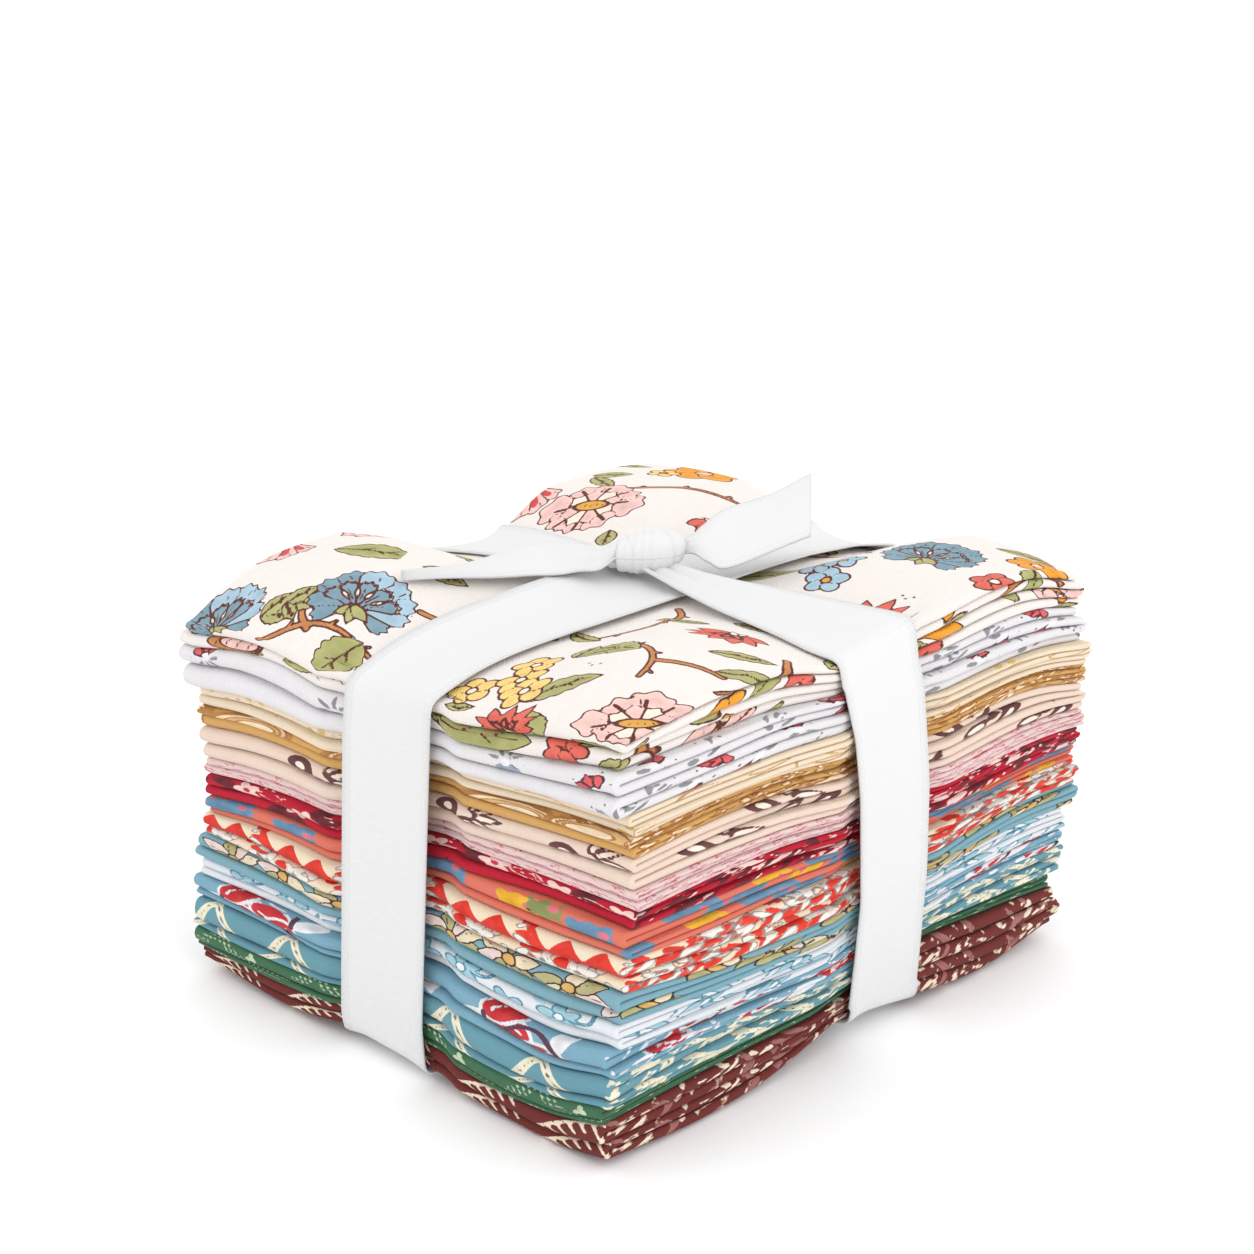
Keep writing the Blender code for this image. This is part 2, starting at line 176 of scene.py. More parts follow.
def eased(places, values, at):
    """A smooth line through values at these places."""
    places, values = np.array(places, float), np.array(values, float)
    slopes = np.gradient(values, places)
    at = np.clip(at, places[0], places[-1])
    k = np.clip(np.searchsorted(places, at) - 1, 0, len(places) - 2)
    wide = places[k + 1] - places[k]
    t = (at - places[k]) / wide
    return (
        (2 * t**3 - 3 * t**2 + 1) * values[k] + (t**3 - 2 * t**2 + t) * wide * slopes[k]
        + (3 * t**2 - 2 * t**3) * values[k + 1] + (t**3 - t**2) * wide * slopes[k + 1]
    )


def hollow(distance, flat, slope):
    """1 within flat of a line, easing to 0 over slope beyond it."""
    t = np.clip((np.abs(distance) - flat) / slope, 0, 1)
    return 0.5 + 0.5 * np.cos(math.pi * t)


def lobed_top(x, y):
    """Height of the top away from its edges: four lobes parted by the two lines of tape."""
    # The lobe by the front corner rises more gently than the others.
    gentle = 11 * np.clip(x / 25, 0, 1) * np.clip((4 - y) / 25, 0, 1)
    over_front = hollow(x, 9.0, 27.0 + gentle)
    over_side = hollow(y - 4.0, 8.0, 26.0 + gentle)
    front_dip = over_front * np.interp(y, *FRONT_TURN_DIP)
    side_dip = over_side * np.interp(x, *SIDE_TURN_DIP)
    dent, both = np.maximum(front_dip, side_dip), np.minimum(front_dip, side_dip)
    return LOFT - dent - 0.08 * both + 0.5 * ripple(x, y, 4, 45.0)


def lobed_base(x, y):
    """Height of the underside away from its edges, which lifts along the two lines of tape."""
    over_front = hollow(x, 10.0, 16.0)
    over_side = hollow(y - 6.0, 9.0, 16.0)
    return BASE_ARCH * np.maximum(over_front, over_side)


def meet_faces(surface, front, side, x, y):
    """The surface, brought near its edges to the heights along the front and the right side."""
    near_front = np.exp(-((y - FRONT) / EDGE_ROUNDING) ** 1.3)
    near_side = np.exp(-((RIGHT - x) / EDGE_ROUNDING) ** 1.3)
    at_front = eased(ALONG_FRONT, front, x) - surface(x, np.full_like(x, FRONT))
    at_side = eased(ALONG_SIDE, side, y) - surface(np.full_like(x, RIGHT), y)
    corner = surface(np.full_like(x, RIGHT), np.full_like(x, FRONT))
    at_corner = eased(ALONG_SIDE, side, np.full_like(x, FRONT)) - corner
    reach = near_front * at_front + near_side * at_side - near_front * near_side * at_corner
    return surface(x, y) + reach


def far_edges(x, y):
    """How far the top droops at the two sides away from the front corner."""
    at_left = np.exp(-((x - LEFT) / 9.0) ** 1.5) * 1.6
    at_back = np.exp(-((BACK - y) / 9.0) ** 1.5) * 1.8
    corner = np.exp(-(((x - LEFT) ** 2 + (y - FRONT) ** 2) / 16.0**2)) * 2.5
    return at_left + at_back + corner


def course_height(number, x, y):
    """Height of the top of a course, or of the underside for -1."""
    x, y = np.clip(x, LEFT, RIGHT), np.clip(y, FRONT, BACK)
    base = np.maximum(0.2, meet_faces(lobed_base, UNDERSIDE.front, UNDERSIDE.side, x, y))
    top = meet_faces(lobed_top, COURSES[-1].front, COURSES[-1].side, x, y) - far_edges(x, y)
    if number < 0:
        return base
    if number == len(COURSES) - 1:
        return top
    course = COURSES[number]

    def part(at, places, heights, low, high):
        floor_there, top_there = eased(places, low, at), eased(places, high, at)
        return (eased(places, heights, at) - floor_there) / (top_there - floor_there)

    by_front = part(x, ALONG_FRONT, course.front, UNDERSIDE.front, COURSES[-1].front)
    by_side = part(y, ALONG_SIDE, course.side, UNDERSIDE.side, COURSES[-1].side)
    from_side, from_front = RIGHT - x + 0.5, y - FRONT + 0.5
    share = (by_front * from_side + by_side * from_front) / (from_side + from_front)
    return base + (top - base) * share


def pad_faces(name, x, y):
    """Heights of the underside and the top of one folded fat quarter."""
    pad = PADS[name]
    below = course_height(pad.course - 1, x, y)
    above = course_height(pad.course, x, y)
    names = [n for n in PADS if PADS[n].course == pad.course]
    start = sum(PADS[n].share for n in names[: names.index(name)])
    low = below + (above - below) * start
    return low, below + (above - below) * (start + pad.share)


# How near a fold a row or a column of points stands: in one, at a place kept all through the
# cloth, or at a place kept only where the cloth is in sight.
IN_FOLD, KEPT, IN_SIGHT = 2, 1, 0
PLY = 0.62  # one thickness of cloth, for the length that each fold takes up


def nested_folds(steps):
    """Columns over the cloth's width, folded in half twice: place across (0 left, 1 right), how
    far it stands out past that side, its offset from the middle of the four plies, its width so
    far, and how near a fold it is."""
    columns, at = [], 0.0
    quarter_width = CUT_WIDTH / 4
    offsets, radii = (1.5, -1.5, -0.5, 0.5), (1.5, 0.5, 0.5)
    kept_every, bend_steps = (10, 3, 1, 1), (8, 3, 3)
    for quarter in range(4):
        fine = steps[quarter]
        for k in range(fine + 1):
            s = k / fine
            near_end = k <= 1 and quarter == 0 or k >= fine - 1 and quarter in (0, 3)
            by_fold = near_end or k == fine and quarter == 1 or k == 0 and quarter in (1, 2)
            near = IN_FOLD if by_fold else KEPT if k % kept_every[quarter] == 0 else IN_SIGHT
            place = s if quarter % 2 == 0 else 1 - s
            columns.append((place, 0.0, offsets[quarter], at + quarter_width * s, near))
        at += quarter_width
        if quarter == 3:
            break
        radius = radii[quarter]
        middle = (offsets[quarter] + offsets[quarter + 1]) / 2
        over = 1 if offsets[quarter] > middle else -1
        side, place = (1, 1) if quarter % 2 == 0 else (-1, 0)
        near = IN_FOLD if quarter < 2 else KEPT
        for a in np.linspace(0, math.pi, bend_steps[quarter] + 2)[1:-1]:
            out = side * radius * math.sin(a)
            offset = middle + over * radius * math.cos(a)
            columns.append((place, out, offset, at + radius * PLY * a, near))
        at += radius * PLY * math.pi
    columns = np.array(columns, float)
    columns[:, 3] *= CUT_WIDTH / at
    return columns


def zigzag_folds(steps):
    """Rows over the cloth's length, folded back and forth in four: place along (0 front, 1
    back), side it bends out at, share of the pad's height and of the ply offset, how far out
    the row and its plies stand, its length so far, how near a fold it is, and how far round
    the folds at the front it has turned."""
    rows, at = [], 0.0
    quarter_length = CUT_LENGTH / 4
    bend = np.linspace(0, math.pi, 11)[1:-1]
    for layer in range(4):
        backwards = layer % 2 == 0
        fine = steps[layer]
        kept_every = 6 if fine > 90 else 3
        for k in range(fine + 1):
            s = k / fine
            by_fold = layer < 3 and k >= fine - 1 or layer > 0 and k <= 1
            near = IN_FOLD if by_fold else KEPT if k % kept_every == 0 else IN_SIGHT
            rows.append((
                1 - s if backwards else s, 0, 1 - (layer + 0.5) / 4, (1 if backwards else -1) / 16,
                0, 0, at + quarter_length * s, near, 0 if backwards else math.pi,
            ))
        at += quarter_length
        if layer == 3:
            break
        centre = 1 - (layer + 1) / 4
        side, place, over = (-1, 0, 1) if backwards else (1, 1, -1)
        for a in bend:
            height, out = math.cos(a) / 16, math.sin(a)
            rows.append((
                place, side, centre + 2 * height, over * height, 2 * out, over * out,
                at + 2 * PLY * a, IN_FOLD, a if backwards else math.pi - a,
            ))
        at += 2 * PLY * math.pi
    rows = np.array(rows, float)
    rows[:, 6] *= CUT_LENGTH / at
    return rows


def joined_up(near_rows, near_columns, top_rows, top_columns):
    """Faces over the grid of points, and which points they use. Rows in a fold have every
    column, and columns in a fold every row. Between them the cloth is flat enough for wide
    cells from one kept place to the next, except in the layer on top."""
    kept_rows, kept_columns = np.flatnonzero(near_rows).tolist(), np.flatnonzero(near_columns).tolist()
    used = np.zeros((len(near_rows), len(near_columns)), bool)
    cells = []
    for r0, r1 in zip(kept_rows[:-1], kept_rows[1:]):
        rows_in_fold = near_rows[r0] == near_rows[r1] == IN_FOLD
        for c0, c1 in zip(kept_columns[:-1], kept_columns[1:]):
            columns_in_fold = near_columns[c0] == near_columns[c1] == IN_FOLD
            on_top = r1 <= top_rows and c1 <= top_columns
            down = 1 if columns_in_fold or on_top else r1 - r0
            along = 1 if rows_in_fold or on_top else c1 - c0
            for r in range(r0, r1, down):
                cells += [(r, r + down, c, c + along) for c in range(c0, c1, along)]
            used[r0 : r1 + 1 : down, c0 : c1 + 1 : along] = True
    number = (np.cumsum(used).reshape(used.shape) - 1).tolist()
    taken = used.tolist()
    faces = []
    for r0, r1, c0, c1 in cells:
        border = [(r, c0) for r in range(r0, r1)] + [(r1, c) for c in range(c0, c1)]
        border += [(r, c1) for r in range(r1, r0, -1)] + [(r0, c) for c in range(c1, c0, -1)]
        faces.append([number[r][c] for r, c in border if taken[r][c]])
    return faces, used


PLY_SPREAD = 1.16  # how much further apart the four plies stand than packed quite flat
# How far the tape draws the folds in where it crosses them. At the front and back it draws them
# all in out to the grip from its middle, and less and less over the ease beyond.
DRAWN_FRONT, DRAWN_BACK, DRAWN_LEFT, DRAWN_RIGHT = 1.7, 1.5, 1.2, 0.8
TAPE_GRIP, GRIP_EASE = 14.0, 8.0


def fold(name, steps_across, steps_along, fine_top):
    """The folded cloth of one fat quarter: points in mm, faces, and each point's place on the
    flat cloth."""
    pad = PADS[name]
    columns, rows = nested_folds(steps_across), zigzag_folds(steps_along)
    s, out_x, offset, u, near_columns = columns.T[:, None, :]
    place, side, middle, share, out_y, lean, v, near_rows, turned = rows.T[:, :, None]
    full = np.ones((len(rows), len(columns)))
    offset = offset * PLY_SPREAD
    # The pads never line up quite: each fold wanders a little in and out.
    x_left = LEFT - pad.left + 0.9 * ripple(v, 0 * v, pad.seed + 40, 110.0) * full
    x_right = RIGHT + pad.right + 0.8 * ripple(v, 0 * v, pad.seed + 60, 120.0) * full
    x_plain = x_left + (x_right - x_left) * s
    turn_number = np.where(v < CUT_LENGTH / 2, 0.0, 300.0)
    y_front = FRONT - pad.front + 0.7 * ripple(x_plain, turn_number, pad.seed + 80, 80.0)
    y_back = BACK + pad.back + 0.8 * ripple(x_plain, turn_number, pad.seed + 90, 80.0)
    y_plain = y_front + (y_back - y_front) * place
    # The tape draws the folds in, and at the right it draws the wider pads in most.
    y_plain = y_plain + DRAWN_FRONT * hollow(x_plain + 1.0, TAPE_GRIP, GRIP_EASE) * (place < 0.02)
    y_plain = y_plain - DRAWN_BACK * hollow(x_plain, TAPE_GRIP, GRIP_EASE) * (place > 0.98)
    pulled = hollow(y_plain - 6.0, 9.0, 9.0)
    drawn_right = DRAWN_RIGHT + 0.35 * max(0.0, pad.right - 1.0)
    x_plain = x_plain - drawn_right * pulled * (s > 0.98) + DRAWN_LEFT * pulled * (s < 0.02)
    low, high = pad_faces(name, x_plain, y_plain)
    thick = high - low
    ply = thick / 16
    x = x_plain + out_x * ply
    y = y_plain + side * (out_y + lean * offset) * ply
    height = middle + share * offset
    height = height + 0.045 * np.sin(math.pi * height) * ripple(x, y, pad.seed + 20, 70.0)
    height = np.clip(height, 0.004, 0.996)
    # At the front the lower roll is thinner or thicker than the upper one.
    parting = 0.5 + (pad.lower - 0.5) * np.exp(-np.maximum(y - FRONT, 0) / 14.0)
    under = height < 0.5
    height = np.where(under, height * 2 * parting, parting + (height * 2 - 1) * (1 - parting))
    grid = np.stack([x, y, low + thick * height], -1)
    # The outer plies go further round each fold than the inner ones.
    further = (turned - math.pi / 2) * (offset + 0.7) * 0.55
    flat = np.stack([u * full, v + further * full], -1)
    top_rows, top_columns = (steps_along[0], steps_across[0]) if fine_top else (-1, -1)
    faces, used = joined_up(near_rows[:, 0], near_columns[0], top_rows, top_columns)
    return grid[used], faces, flat[used]


def cloth_piece(name, points, faces, flat):
    """A sheet of cloth as a mesh, with each point's place on the flat cloth kept with it."""
    mesh = bpy.data.meshes.new(name)
    mesh.from_pydata((points * MM).tolist(), [], faces)
    layer = mesh.uv_layers.new(name="cloth")
    order = np.empty(len(mesh.loops), np.int32)
    mesh.loops.foreach_get("vertex_index", order)
    layer.data.foreach_set("uv", (flat[order] / 1000).astype(np.float32).reshape(-1))
    mesh.polygons.foreach_set("use_smooth", [True] * len(mesh.polygons))
    obj = bpy.data.objects.new(name, mesh)
    bpy.context.scene.collection.objects.link(obj)
    return obj


# ------------------------------------------------------- printing the cottons
# Each fat quarter is quilting cotton screen-printed on one side: one screen for each ink, and
# a last one for the fine dark line. The weave is plain and close, with a few thicker threads.

laid = []  # the points of the folded cloth, which the tape is drawn round
THREAD = 0.42 * MM  # from one thread to the next
OUTSIDE = -9.0  # a screen's value far from every shape


class Weaver:
    """Puts one node after another in a material and joins them up."""

    def __init__(self, material):
        material.use_nodes = True
        self.nodes, self.links = material.node_tree.nodes, material.node_tree.links
        self.shader = self.nodes["Principled BSDF"]

    def join(self, socket, value):
        if isinstance(value, bpy.types.NodeSocket):
            self.links.new(value, socket)
        else:
            socket.default_value = value

    def sum(self, operation, *values, clamp=False):
        node = self.nodes.new("ShaderNodeMath")
        node.operation, node.use_clamp = operation, clamp
        for socket, value in zip(node.inputs, values):
            self.join(socket, value)
        return node.outputs[0]

    def blend(self, factor, under, over):
        node = self.nodes.new("ShaderNodeMix")
        node.data_type = "RGBA"
        self.join(node.inputs["Factor"], factor)
        self.join(node.inputs["A"], under if isinstance(under, bpy.types.NodeSocket) else (*under, 1))
        self.join(node.inputs["B"], over if isinstance(over, bpy.types.NodeSocket) else (*over, 1))
        return node.outputs["Result"]

    def noise(self, place, scale, detail=2.0):
        node = self.nodes.new("ShaderNodeTexNoise")
        self.join(node.inputs["Vector"], place)
        node.inputs["Scale"].default_value = scale
        node.inputs["Detail"].default_value = detail
        return node.outputs["Fac"]

    def cloth(self, along=1.0, across=1.0):
        """The place on the flat cloth, in metres, drawn out in either direction."""
        place = self.nodes.new("ShaderNodeUVMap")
        place.uv_map = "cloth"
        drawn = self.nodes.new("ShaderNodeVectorMath")
        drawn.operation = "MULTIPLY"
        self.links.new(place.outputs[0], drawn.inputs[0])
        drawn.inputs[1].default_value = (across, along, 1.0)
        return drawn.outputs[0]


INK_EDGE = 6.5  # how sharply an ink begins, for each mm
LINE_WIDTH = 0.21  # from the middle of the dark line round an ink to its edge
GROUND_DEPTH = 0.86  # the ground comes out this much deeper than its stated colour


def printed_cotton(name, ground, inks, outlined, line, line_width):
    """Cotton on which each ink lies over the ones before it, and the dark line over them all. An
    ink with no colour of its own is drawn as part of that line."""
    material = bpy.data.materials.new(name)
    w = Weaver(material)
    plain = w.cloth()
    wander = w.sum("MULTIPLY", w.sum("SUBTRACT", w.noise(plain, 1500.0, 3.0), 0.5), 0.34)
    wash = w.noise(plain, 260.0, 3.0)
    slubs = w.sum("ADD", w.noise(w.cloth(along=0.07), 2300.0), w.noise(w.cloth(across=0.07), 2300.0))
    ground = tuple(c * GROUND_DEPTH for c in ground)
    # The thicker threads come out paler and the ground between them darker, following the same slubs that
    # raise the bump: partly the yarn's own uneven tone and partly painted shade in the low places of the
    # weave.
    pale = tuple(c * 1.05 + 0.004 for c in ground)
    shade = tuple(c * 0.95 for c in ground)
    slub_tone_and_shade = w.sum("MULTIPLY_ADD", w.sum("SUBTRACT", slubs, 1.0), 1.0, 0.5, clamp=True)
    colour = w.blend(slub_tone_and_shade, shade, pale)
    nearest = None
    for ink, tone in inks.items():
        screen = w.nodes.new("ShaderNodeAttribute")
        screen.attribute_name = "screen_" + ink
        inside = w.sum("ADD", screen.outputs["Fac"], wander)
        if tone is None:
            drawn_line = w.sum("MULTIPLY_ADD", inside, 6.0, 0.5, clamp=True)
            continue
        thin = tuple(c * 0.97 + 0.025 for c in tone)
        deep = tuple(c * 0.72 for c in tone)
        washed = w.sum("MULTIPLY_ADD", wash, 1.9, -0.75)
        painted = w.blend(w.sum("MULTIPLY_ADD", inside, 0.16, washed, clamp=True), thin, deep)
        colour = w.blend(w.sum("MULTIPLY_ADD", inside, INK_EDGE, 0.5, clamp=True), colour, painted)
        if ink in outlined:
            edge = w.sum("ABSOLUTE", inside)
            nearest = edge if nearest is None else w.sum("MINIMUM", nearest, edge)
    dark = None
    if nearest is not None:
        dark = w.sum("MULTIPLY_ADD", w.sum("SUBTRACT", line_width, nearest), INK_EDGE, 0.5, clamp=True)
    if None in inks.values():
        dark = drawn_line if dark is None else w.sum("MAXIMUM", dark, drawn_line)
    if dark is not None:
        colour = w.blend(dark, colour, line)
    w.join(w.shader.inputs["Base Color"], colour)
    w.shader.inputs["Roughness"].default_value = 0.82
    w.shader.inputs["Sheen Weight"].default_value = 0.03
    w.shader.inputs["Specular IOR Level"].default_value = 0.15
    # Plain weave: over one thread and under the next, both ways.
    parts = w.nodes.new("ShaderNodeSeparateXYZ")
    w.join(parts.inputs[0], plain)
    over = [w.sum("SINE", w.sum("MULTIPLY", parts.outputs[k], math.pi / THREAD)) for k in (0, 1)]
    weave = w.sum("MULTIPLY", over[0], over[1])
    bump = w.nodes.new("ShaderNodeBump")
    bump.inputs["Strength"].default_value = 0.5
    bump.inputs["Distance"].default_value = 0.06 * MM
    w.join(bump.inputs["Height"], w.sum("MULTIPLY_ADD", slubs, 2.2, weave))
    w.join(w.shader.inputs["Normal"], bump.outputs[0])
    return material


class Screens:
    """The screens a cotton is printed with, one for each ink. A screen holds how far, in mm,
    each point of the cloth lies inside that ink's shapes; below zero it is outside them."""

    def __init__(self, flat, inks, repeat):
        self.flat, self.repeat = flat, repeat
        self.inks = {ink: np.full(len(flat), OUTSIDE) for ink in inks}

    def motif(self, u, v, turn, reach, size=1.0):
        """The points near a motif, in every repeat of it, in the motif's own axes."""
        wide, tall = self.repeat
        x = self.flat[:, 0] - u
        x = x - np.round(x / wide) * wide
        y = v - self.flat[:, 1]
        y = y - np.round(y / tall) * tall
        near = np.flatnonzero(x * x + y * y < (reach * size) ** 2)
        x, y = x[near] / size, y[near] / size
        c, s = math.cos(math.radians(turn)), math.sin(math.radians(turn))
        return Motif(self, near, x * c + y * s, y * c - x * s, size)


class Motif:
    """The points near one motif, with their places in its own axes, in mm before it is sized."""

    def __init__(self, screens, near, x, y, size):
        self.screens, self.near, self.x, self.y, self.size = screens, near, x, y, size

    def lay(self, ink, inside, keep=()):
        """Prints a shape in one ink, over whatever the shapes before it put there."""
        inside = inside * self.size
        for other, screen in self.screens.inks.items():
            if other not in keep:
                screen[self.near] = np.minimum(screen[self.near], -inside)
        screen = self.screens.inks[ink]
        screen[self.near] = np.maximum(screen[self.near], inside)

    def stroke(self, ink, points, half):
        """Prints a line through these points, which gets thinner to its end."""
        points = np.array(points, float)
        inside = np.full(len(self.near), OUTSIDE)
        for k, (a, b) in enumerate(zip(points[:-1], points[1:])):
            ahead = b - a
            t = ((self.x - a[0]) * ahead[0] + (self.y - a[1]) * ahead[1]) / max(ahead @ ahead, 1e-6)
            t = np.clip(t, 0, 1)
            gap = np.hypot(self.x - a[0] - t * ahead[0], self.y - a[1] - t * ahead[1])
            inside = np.maximum(inside, half * (1 - 0.35 * (k + t) / len(points)) - gap)
        screen = self.screens.inks[ink]
        screen[self.near] = np.maximum(screen[self.near], inside * self.size)

    def turned(self, degrees, out=0.0, x=0.0, y=0.0):
        """The motif's axes turned, and moved out along their own x."""
        c, s = math.cos(math.radians(degrees)), math.sin(math.radians(degrees))
        px, py = self.x - x, self.y - y
        return Motif(self.screens, self.near, px * c + py * s - out, py * c - px * s, self.size)


def curve(a, b, c, steps=10):
    """Points along a bend from a to c, drawn towards b."""
    t = np.linspace(0, 1, steps)[:, None]
    return (1 - t) ** 2 * np.array(a) + 2 * t * (1 - t) * np.array(b) + t**2 * np.array(c)


def oval(m, long, wide, x=0.0, y=0.0):
    """An oval with these half-lengths, round (x, y)."""
    px, py = (m.x - x) / long, (m.y - y) / wide
    k = np.sqrt(px**2 + py**2) + 1e-6
    return (1 - k) * np.minimum(long, wide)


def blade(m, length, width, teeth=0.0, bow=0.0):
    """A leaf from the motif's middle out along x, pointed at both ends."""
    t = np.clip(m.x / length, 0, 1)
    swell = np.sin(math.pi * t)
    half = width / 2 * np.sin(math.pi * t**0.85) ** 0.85 + teeth * np.abs(np.sin(t * 17)) * swell
    return np.minimum(half - np.abs(m.y - bow * swell), np.minimum(m.x, length - m.x) * 0.7)


def fan(m, length, half_angle, ruffle=0.0, waves=3.0):
    """A petal that widens from the motif's middle to a ruffled end out along x."""
    r, turn = np.hypot(m.x, m.y), np.arctan2(m.y, m.x)
    part = turn / math.radians(half_angle)
    end = length * (1 - 0.16 * part**2) + ruffle * np.cos(part * waves * math.pi)
    side = (math.radians(half_angle) - np.abs(turn)) * r
    return np.minimum(np.minimum(end - r, side), r)


# Steps across each quarter of the width and along each quarter of the length: finer for the
# cotton on top, whose large print is seen whole.
TOP_STEPS = ((219, 48, 32, 32), (246, 84, 84, 84))
PLAIN_STEPS = ((150, 48, 16, 16), (102, 102, 102, 102))


def folded_quarter(name, draw, repeat, ground, inks, outlined=(), line=None, line_width=LINE_WIDTH):
    """Folds one fat quarter, prints it, and puts it in the pile."""
    top = name == "fat_quarter_01_cream_floral"
    points, faces, flat = fold(name, *(TOP_STEPS if top else PLAIN_STEPS), top)
    laid.append(points)
    quarter = cloth_piece(name.replace("fat_quarter", "folded_quarter"), points, faces, flat)
    screens = Screens(flat, inks, repeat)
    draw(screens)
    for ink, screen in screens.inks.items():
        kept = quarter.data.attributes.new("screen_" + ink, "FLOAT", "POINT")
        kept.data.foreach_set("value", screen.astype(np.float32))
    quarter.data.materials.append(printed_cotton(name, ground, inks, outlined, line, line_width))
    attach(quarter, "root")
    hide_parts(name)


# ----------------------------------------------------- the cream floral, on top
# The fat quarter of cream quilting cotton that the knot lies on. It is printed with branches,
# leaves and large hand-drawn flowers in soft blues, coral, pink, gold and yellow, all inside a
# fine brown line.

def leaf(m, length, width, teeth=0.35, bow=0.0):
    """A leaf with its midrib and three side veins."""
    m.lay("olive", blade(m, length, width, teeth, bow))
    t = np.linspace(0.04, 0.86, 7)
    m.stroke("line", np.stack([t * length, bow * np.sin(math.pi * t)], -1), 0.36)
    for at, side in ((0.3, 1), (0.5, -1), (0.62, 1)):
        y = bow * math.sin(math.pi * at)
        m.stroke("line", [(at * length, y), ((at + 0.13) * length, y + side * width * 0.22)], 0.3)


def blue_flower(m, light="light_blue"):
    """A fan of ruffled petals seen from the side, with an inner ring, streaks and a calyx."""
    outer = ((-22, 8.5), (202, 8.5), (10, 10.5), (170, 10.5), (38, 12), (142, 12), (66, 13), (114, 13),
             (90, 13.4))
    for turn, length in outer:
        petal = m.turned(turn)
        petal.lay(light if turn in (10, 38, 66, 90) else "blue", fan(petal, length, 19, 0.45, 3.2))
    for turn in (30, 62, 92, 124, 152):
        petal = m.turned(turn)
        petal.lay("cream", fan(petal, 8.8, 15, 0.4, 3.0))
        petal.lay("blue", fan(petal, 8.2, 14.5, 0.3, 3.0))
        petal.stroke("line", [(2.5, 0), (6.2, 0.3)], 0.22)
    for turn in (45, 78, 108, 138):
        streak = m.turned(turn, 3.0)
        streak.lay("cream", blade(streak, 3.6, 1.0))
    for turn in (18, 52, 86, 118, 150):
        m.turned(turn).stroke("line", [(9.6, 0.0), (11.2, 0.3)], 0.22)
    for turn in (215, 270, 325):
        calyx = m.turned(turn, -1.0)
        calyx.lay("olive", blade(calyx, 5.2, 2.6))


def peony(m):
    """A full open flower: eight ruffled pink petals, eight short ones and a gold heart."""
    outer = ((0, 12.5), (42, 10.5), (84, 11.5), (126, 10.0), (180, 12.5), (222, 9.5), (265, 9.0),
             (312, 10.0))
    for turn, length in outer:
        petal = m.turned(turn)
        petal.lay("pink", fan(petal, length, 27, 0.5, 2.4))
        petal.stroke("coral", [(4.6, 0.4), (8.4, 1.1)], 0.26)
        petal.stroke("line", [(4.4, -0.9), (7.2, -1.6)], 0.2)
    for turn in (20, 65, 110, 155, 205, 250, 295, 340):
        petal = m.turned(turn)
        petal.lay("cream" if turn % 90 > 60 else "pink", fan(petal, 6.4, 22, 0.35, 2.0))
    m.lay("gold", oval(m, 4.2, 1.7))
    for k in range(-2, 3):
        m.stroke("line", [(k * 1.4, 0.5), (k * 1.5, -0.6)], 0.18)


def tulip(m):
    """Five upright pink petals, each with a red streak, over a cream base."""
    for turn, length in ((35, 11), (145, 11), (64, 12.5), (116, 12.5), (90, 13)):
        petal = m.turned(turn)
        petal.lay("pink", fan(petal, length, 20, 0.4, 2.2))
        petal.lay("red", np.minimum(fan(petal, length - 2.2, 8), 0.9 + 0 * petal.x), keep=("pink",))
        petal.stroke("line", [(length - 3.4, 1.4), (length - 1.2, 1.9)], 0.2)
    for turn in (200, 270, 340):
        base = m.turned(turn, -1.5)
        base.lay("cream", blade(base, 5.0, 2.4))


def coral_flower(m):
    """Seven pointed coral petals with red ribs, over a cream base."""
    for turn, length in ((5, 10), (175, 10), (35, 12), (145, 12), (62, 13), (118, 13), (90, 12)):
        petal = m.turned(turn)
        petal.lay("coral", blade(petal, length, 4.4, 0.2))
        petal.stroke("red", [(2.5, 0), (length * 0.72, 0.2)], 0.42)
    for turn in (48, 90, 132):
        petal = m.turned(turn)
        petal.lay("cream", blade(petal, 6.4, 2.8))
        petal.lay("coral", blade(m.turned(turn, 0.8), 5.0, 1.7))
    for turn in (230, 310):
        base = m.turned(turn, -1.0)
        base.lay("cream", blade(base, 4.6, 2.2))


def blossom(m, ink, size, heart, petals=5):
    """A small round flower."""
    for k in range(petals):
        petal = m.turned(90 + 360 / petals * k)
        petal.lay(ink, oval(petal, size * 0.55, size * 0.46, size * 0.62))
    m.lay(heart, oval(m, size * 0.26, size * 0.26))


# Where the branches and leaves lie on the flat cloth, in mm. A branch bends from start to end,
# drawn towards bend, about its place; reach is how far round that place it is printed.
Branch = namedtuple("Branch", "u v reach start bend end steps thorns", defaults=(10, True))
BRANCHES = (
    Branch(36, 131, 22, (-12, -6), (-4, 8), (12, 3)),
    Branch(36, 131, 22, (-4, 1), (-12, 4), (-10, 9), 5, False),
    Branch(60, 111, 24, (-16, 0), (2, 5), (14, 9)),
    Branch(60, 111, 24, (-2, 3), (6, 1), (12, -4), 6, False),
    Branch(83, 84, 26, (-4, 12), (9, 4), (-1, -14)),
    Branch(108, 112, 24, (-16, 7), (0, 8), (3, -6)),
    Branch(108, 112, 20, (1, 1), (8, 6), (14, 5), 6, False),
    Branch(78, 22, 20, (-9, -3), (3, 5), (12, -3)),
    Branch(30, 22, 22, (-13, -8), (-2, 3), (10, 12)),
    Branch(128, 100, 20, (-7, 12), (4, 1), (-3, -13)),
    Branch(10, 60, 22, (-13, 6), (1, -4), (10, 9)),
    Branch(134, 62, 20, (4, 14), (-6, 0), (3, -12)),
    Branch(142, 20, 20, (8, 12), (-2, 0), (6, -12)),
)
Leaf = namedtuple("Leaf", "u v turn length width teeth bow", defaults=(0.35, 0.0))
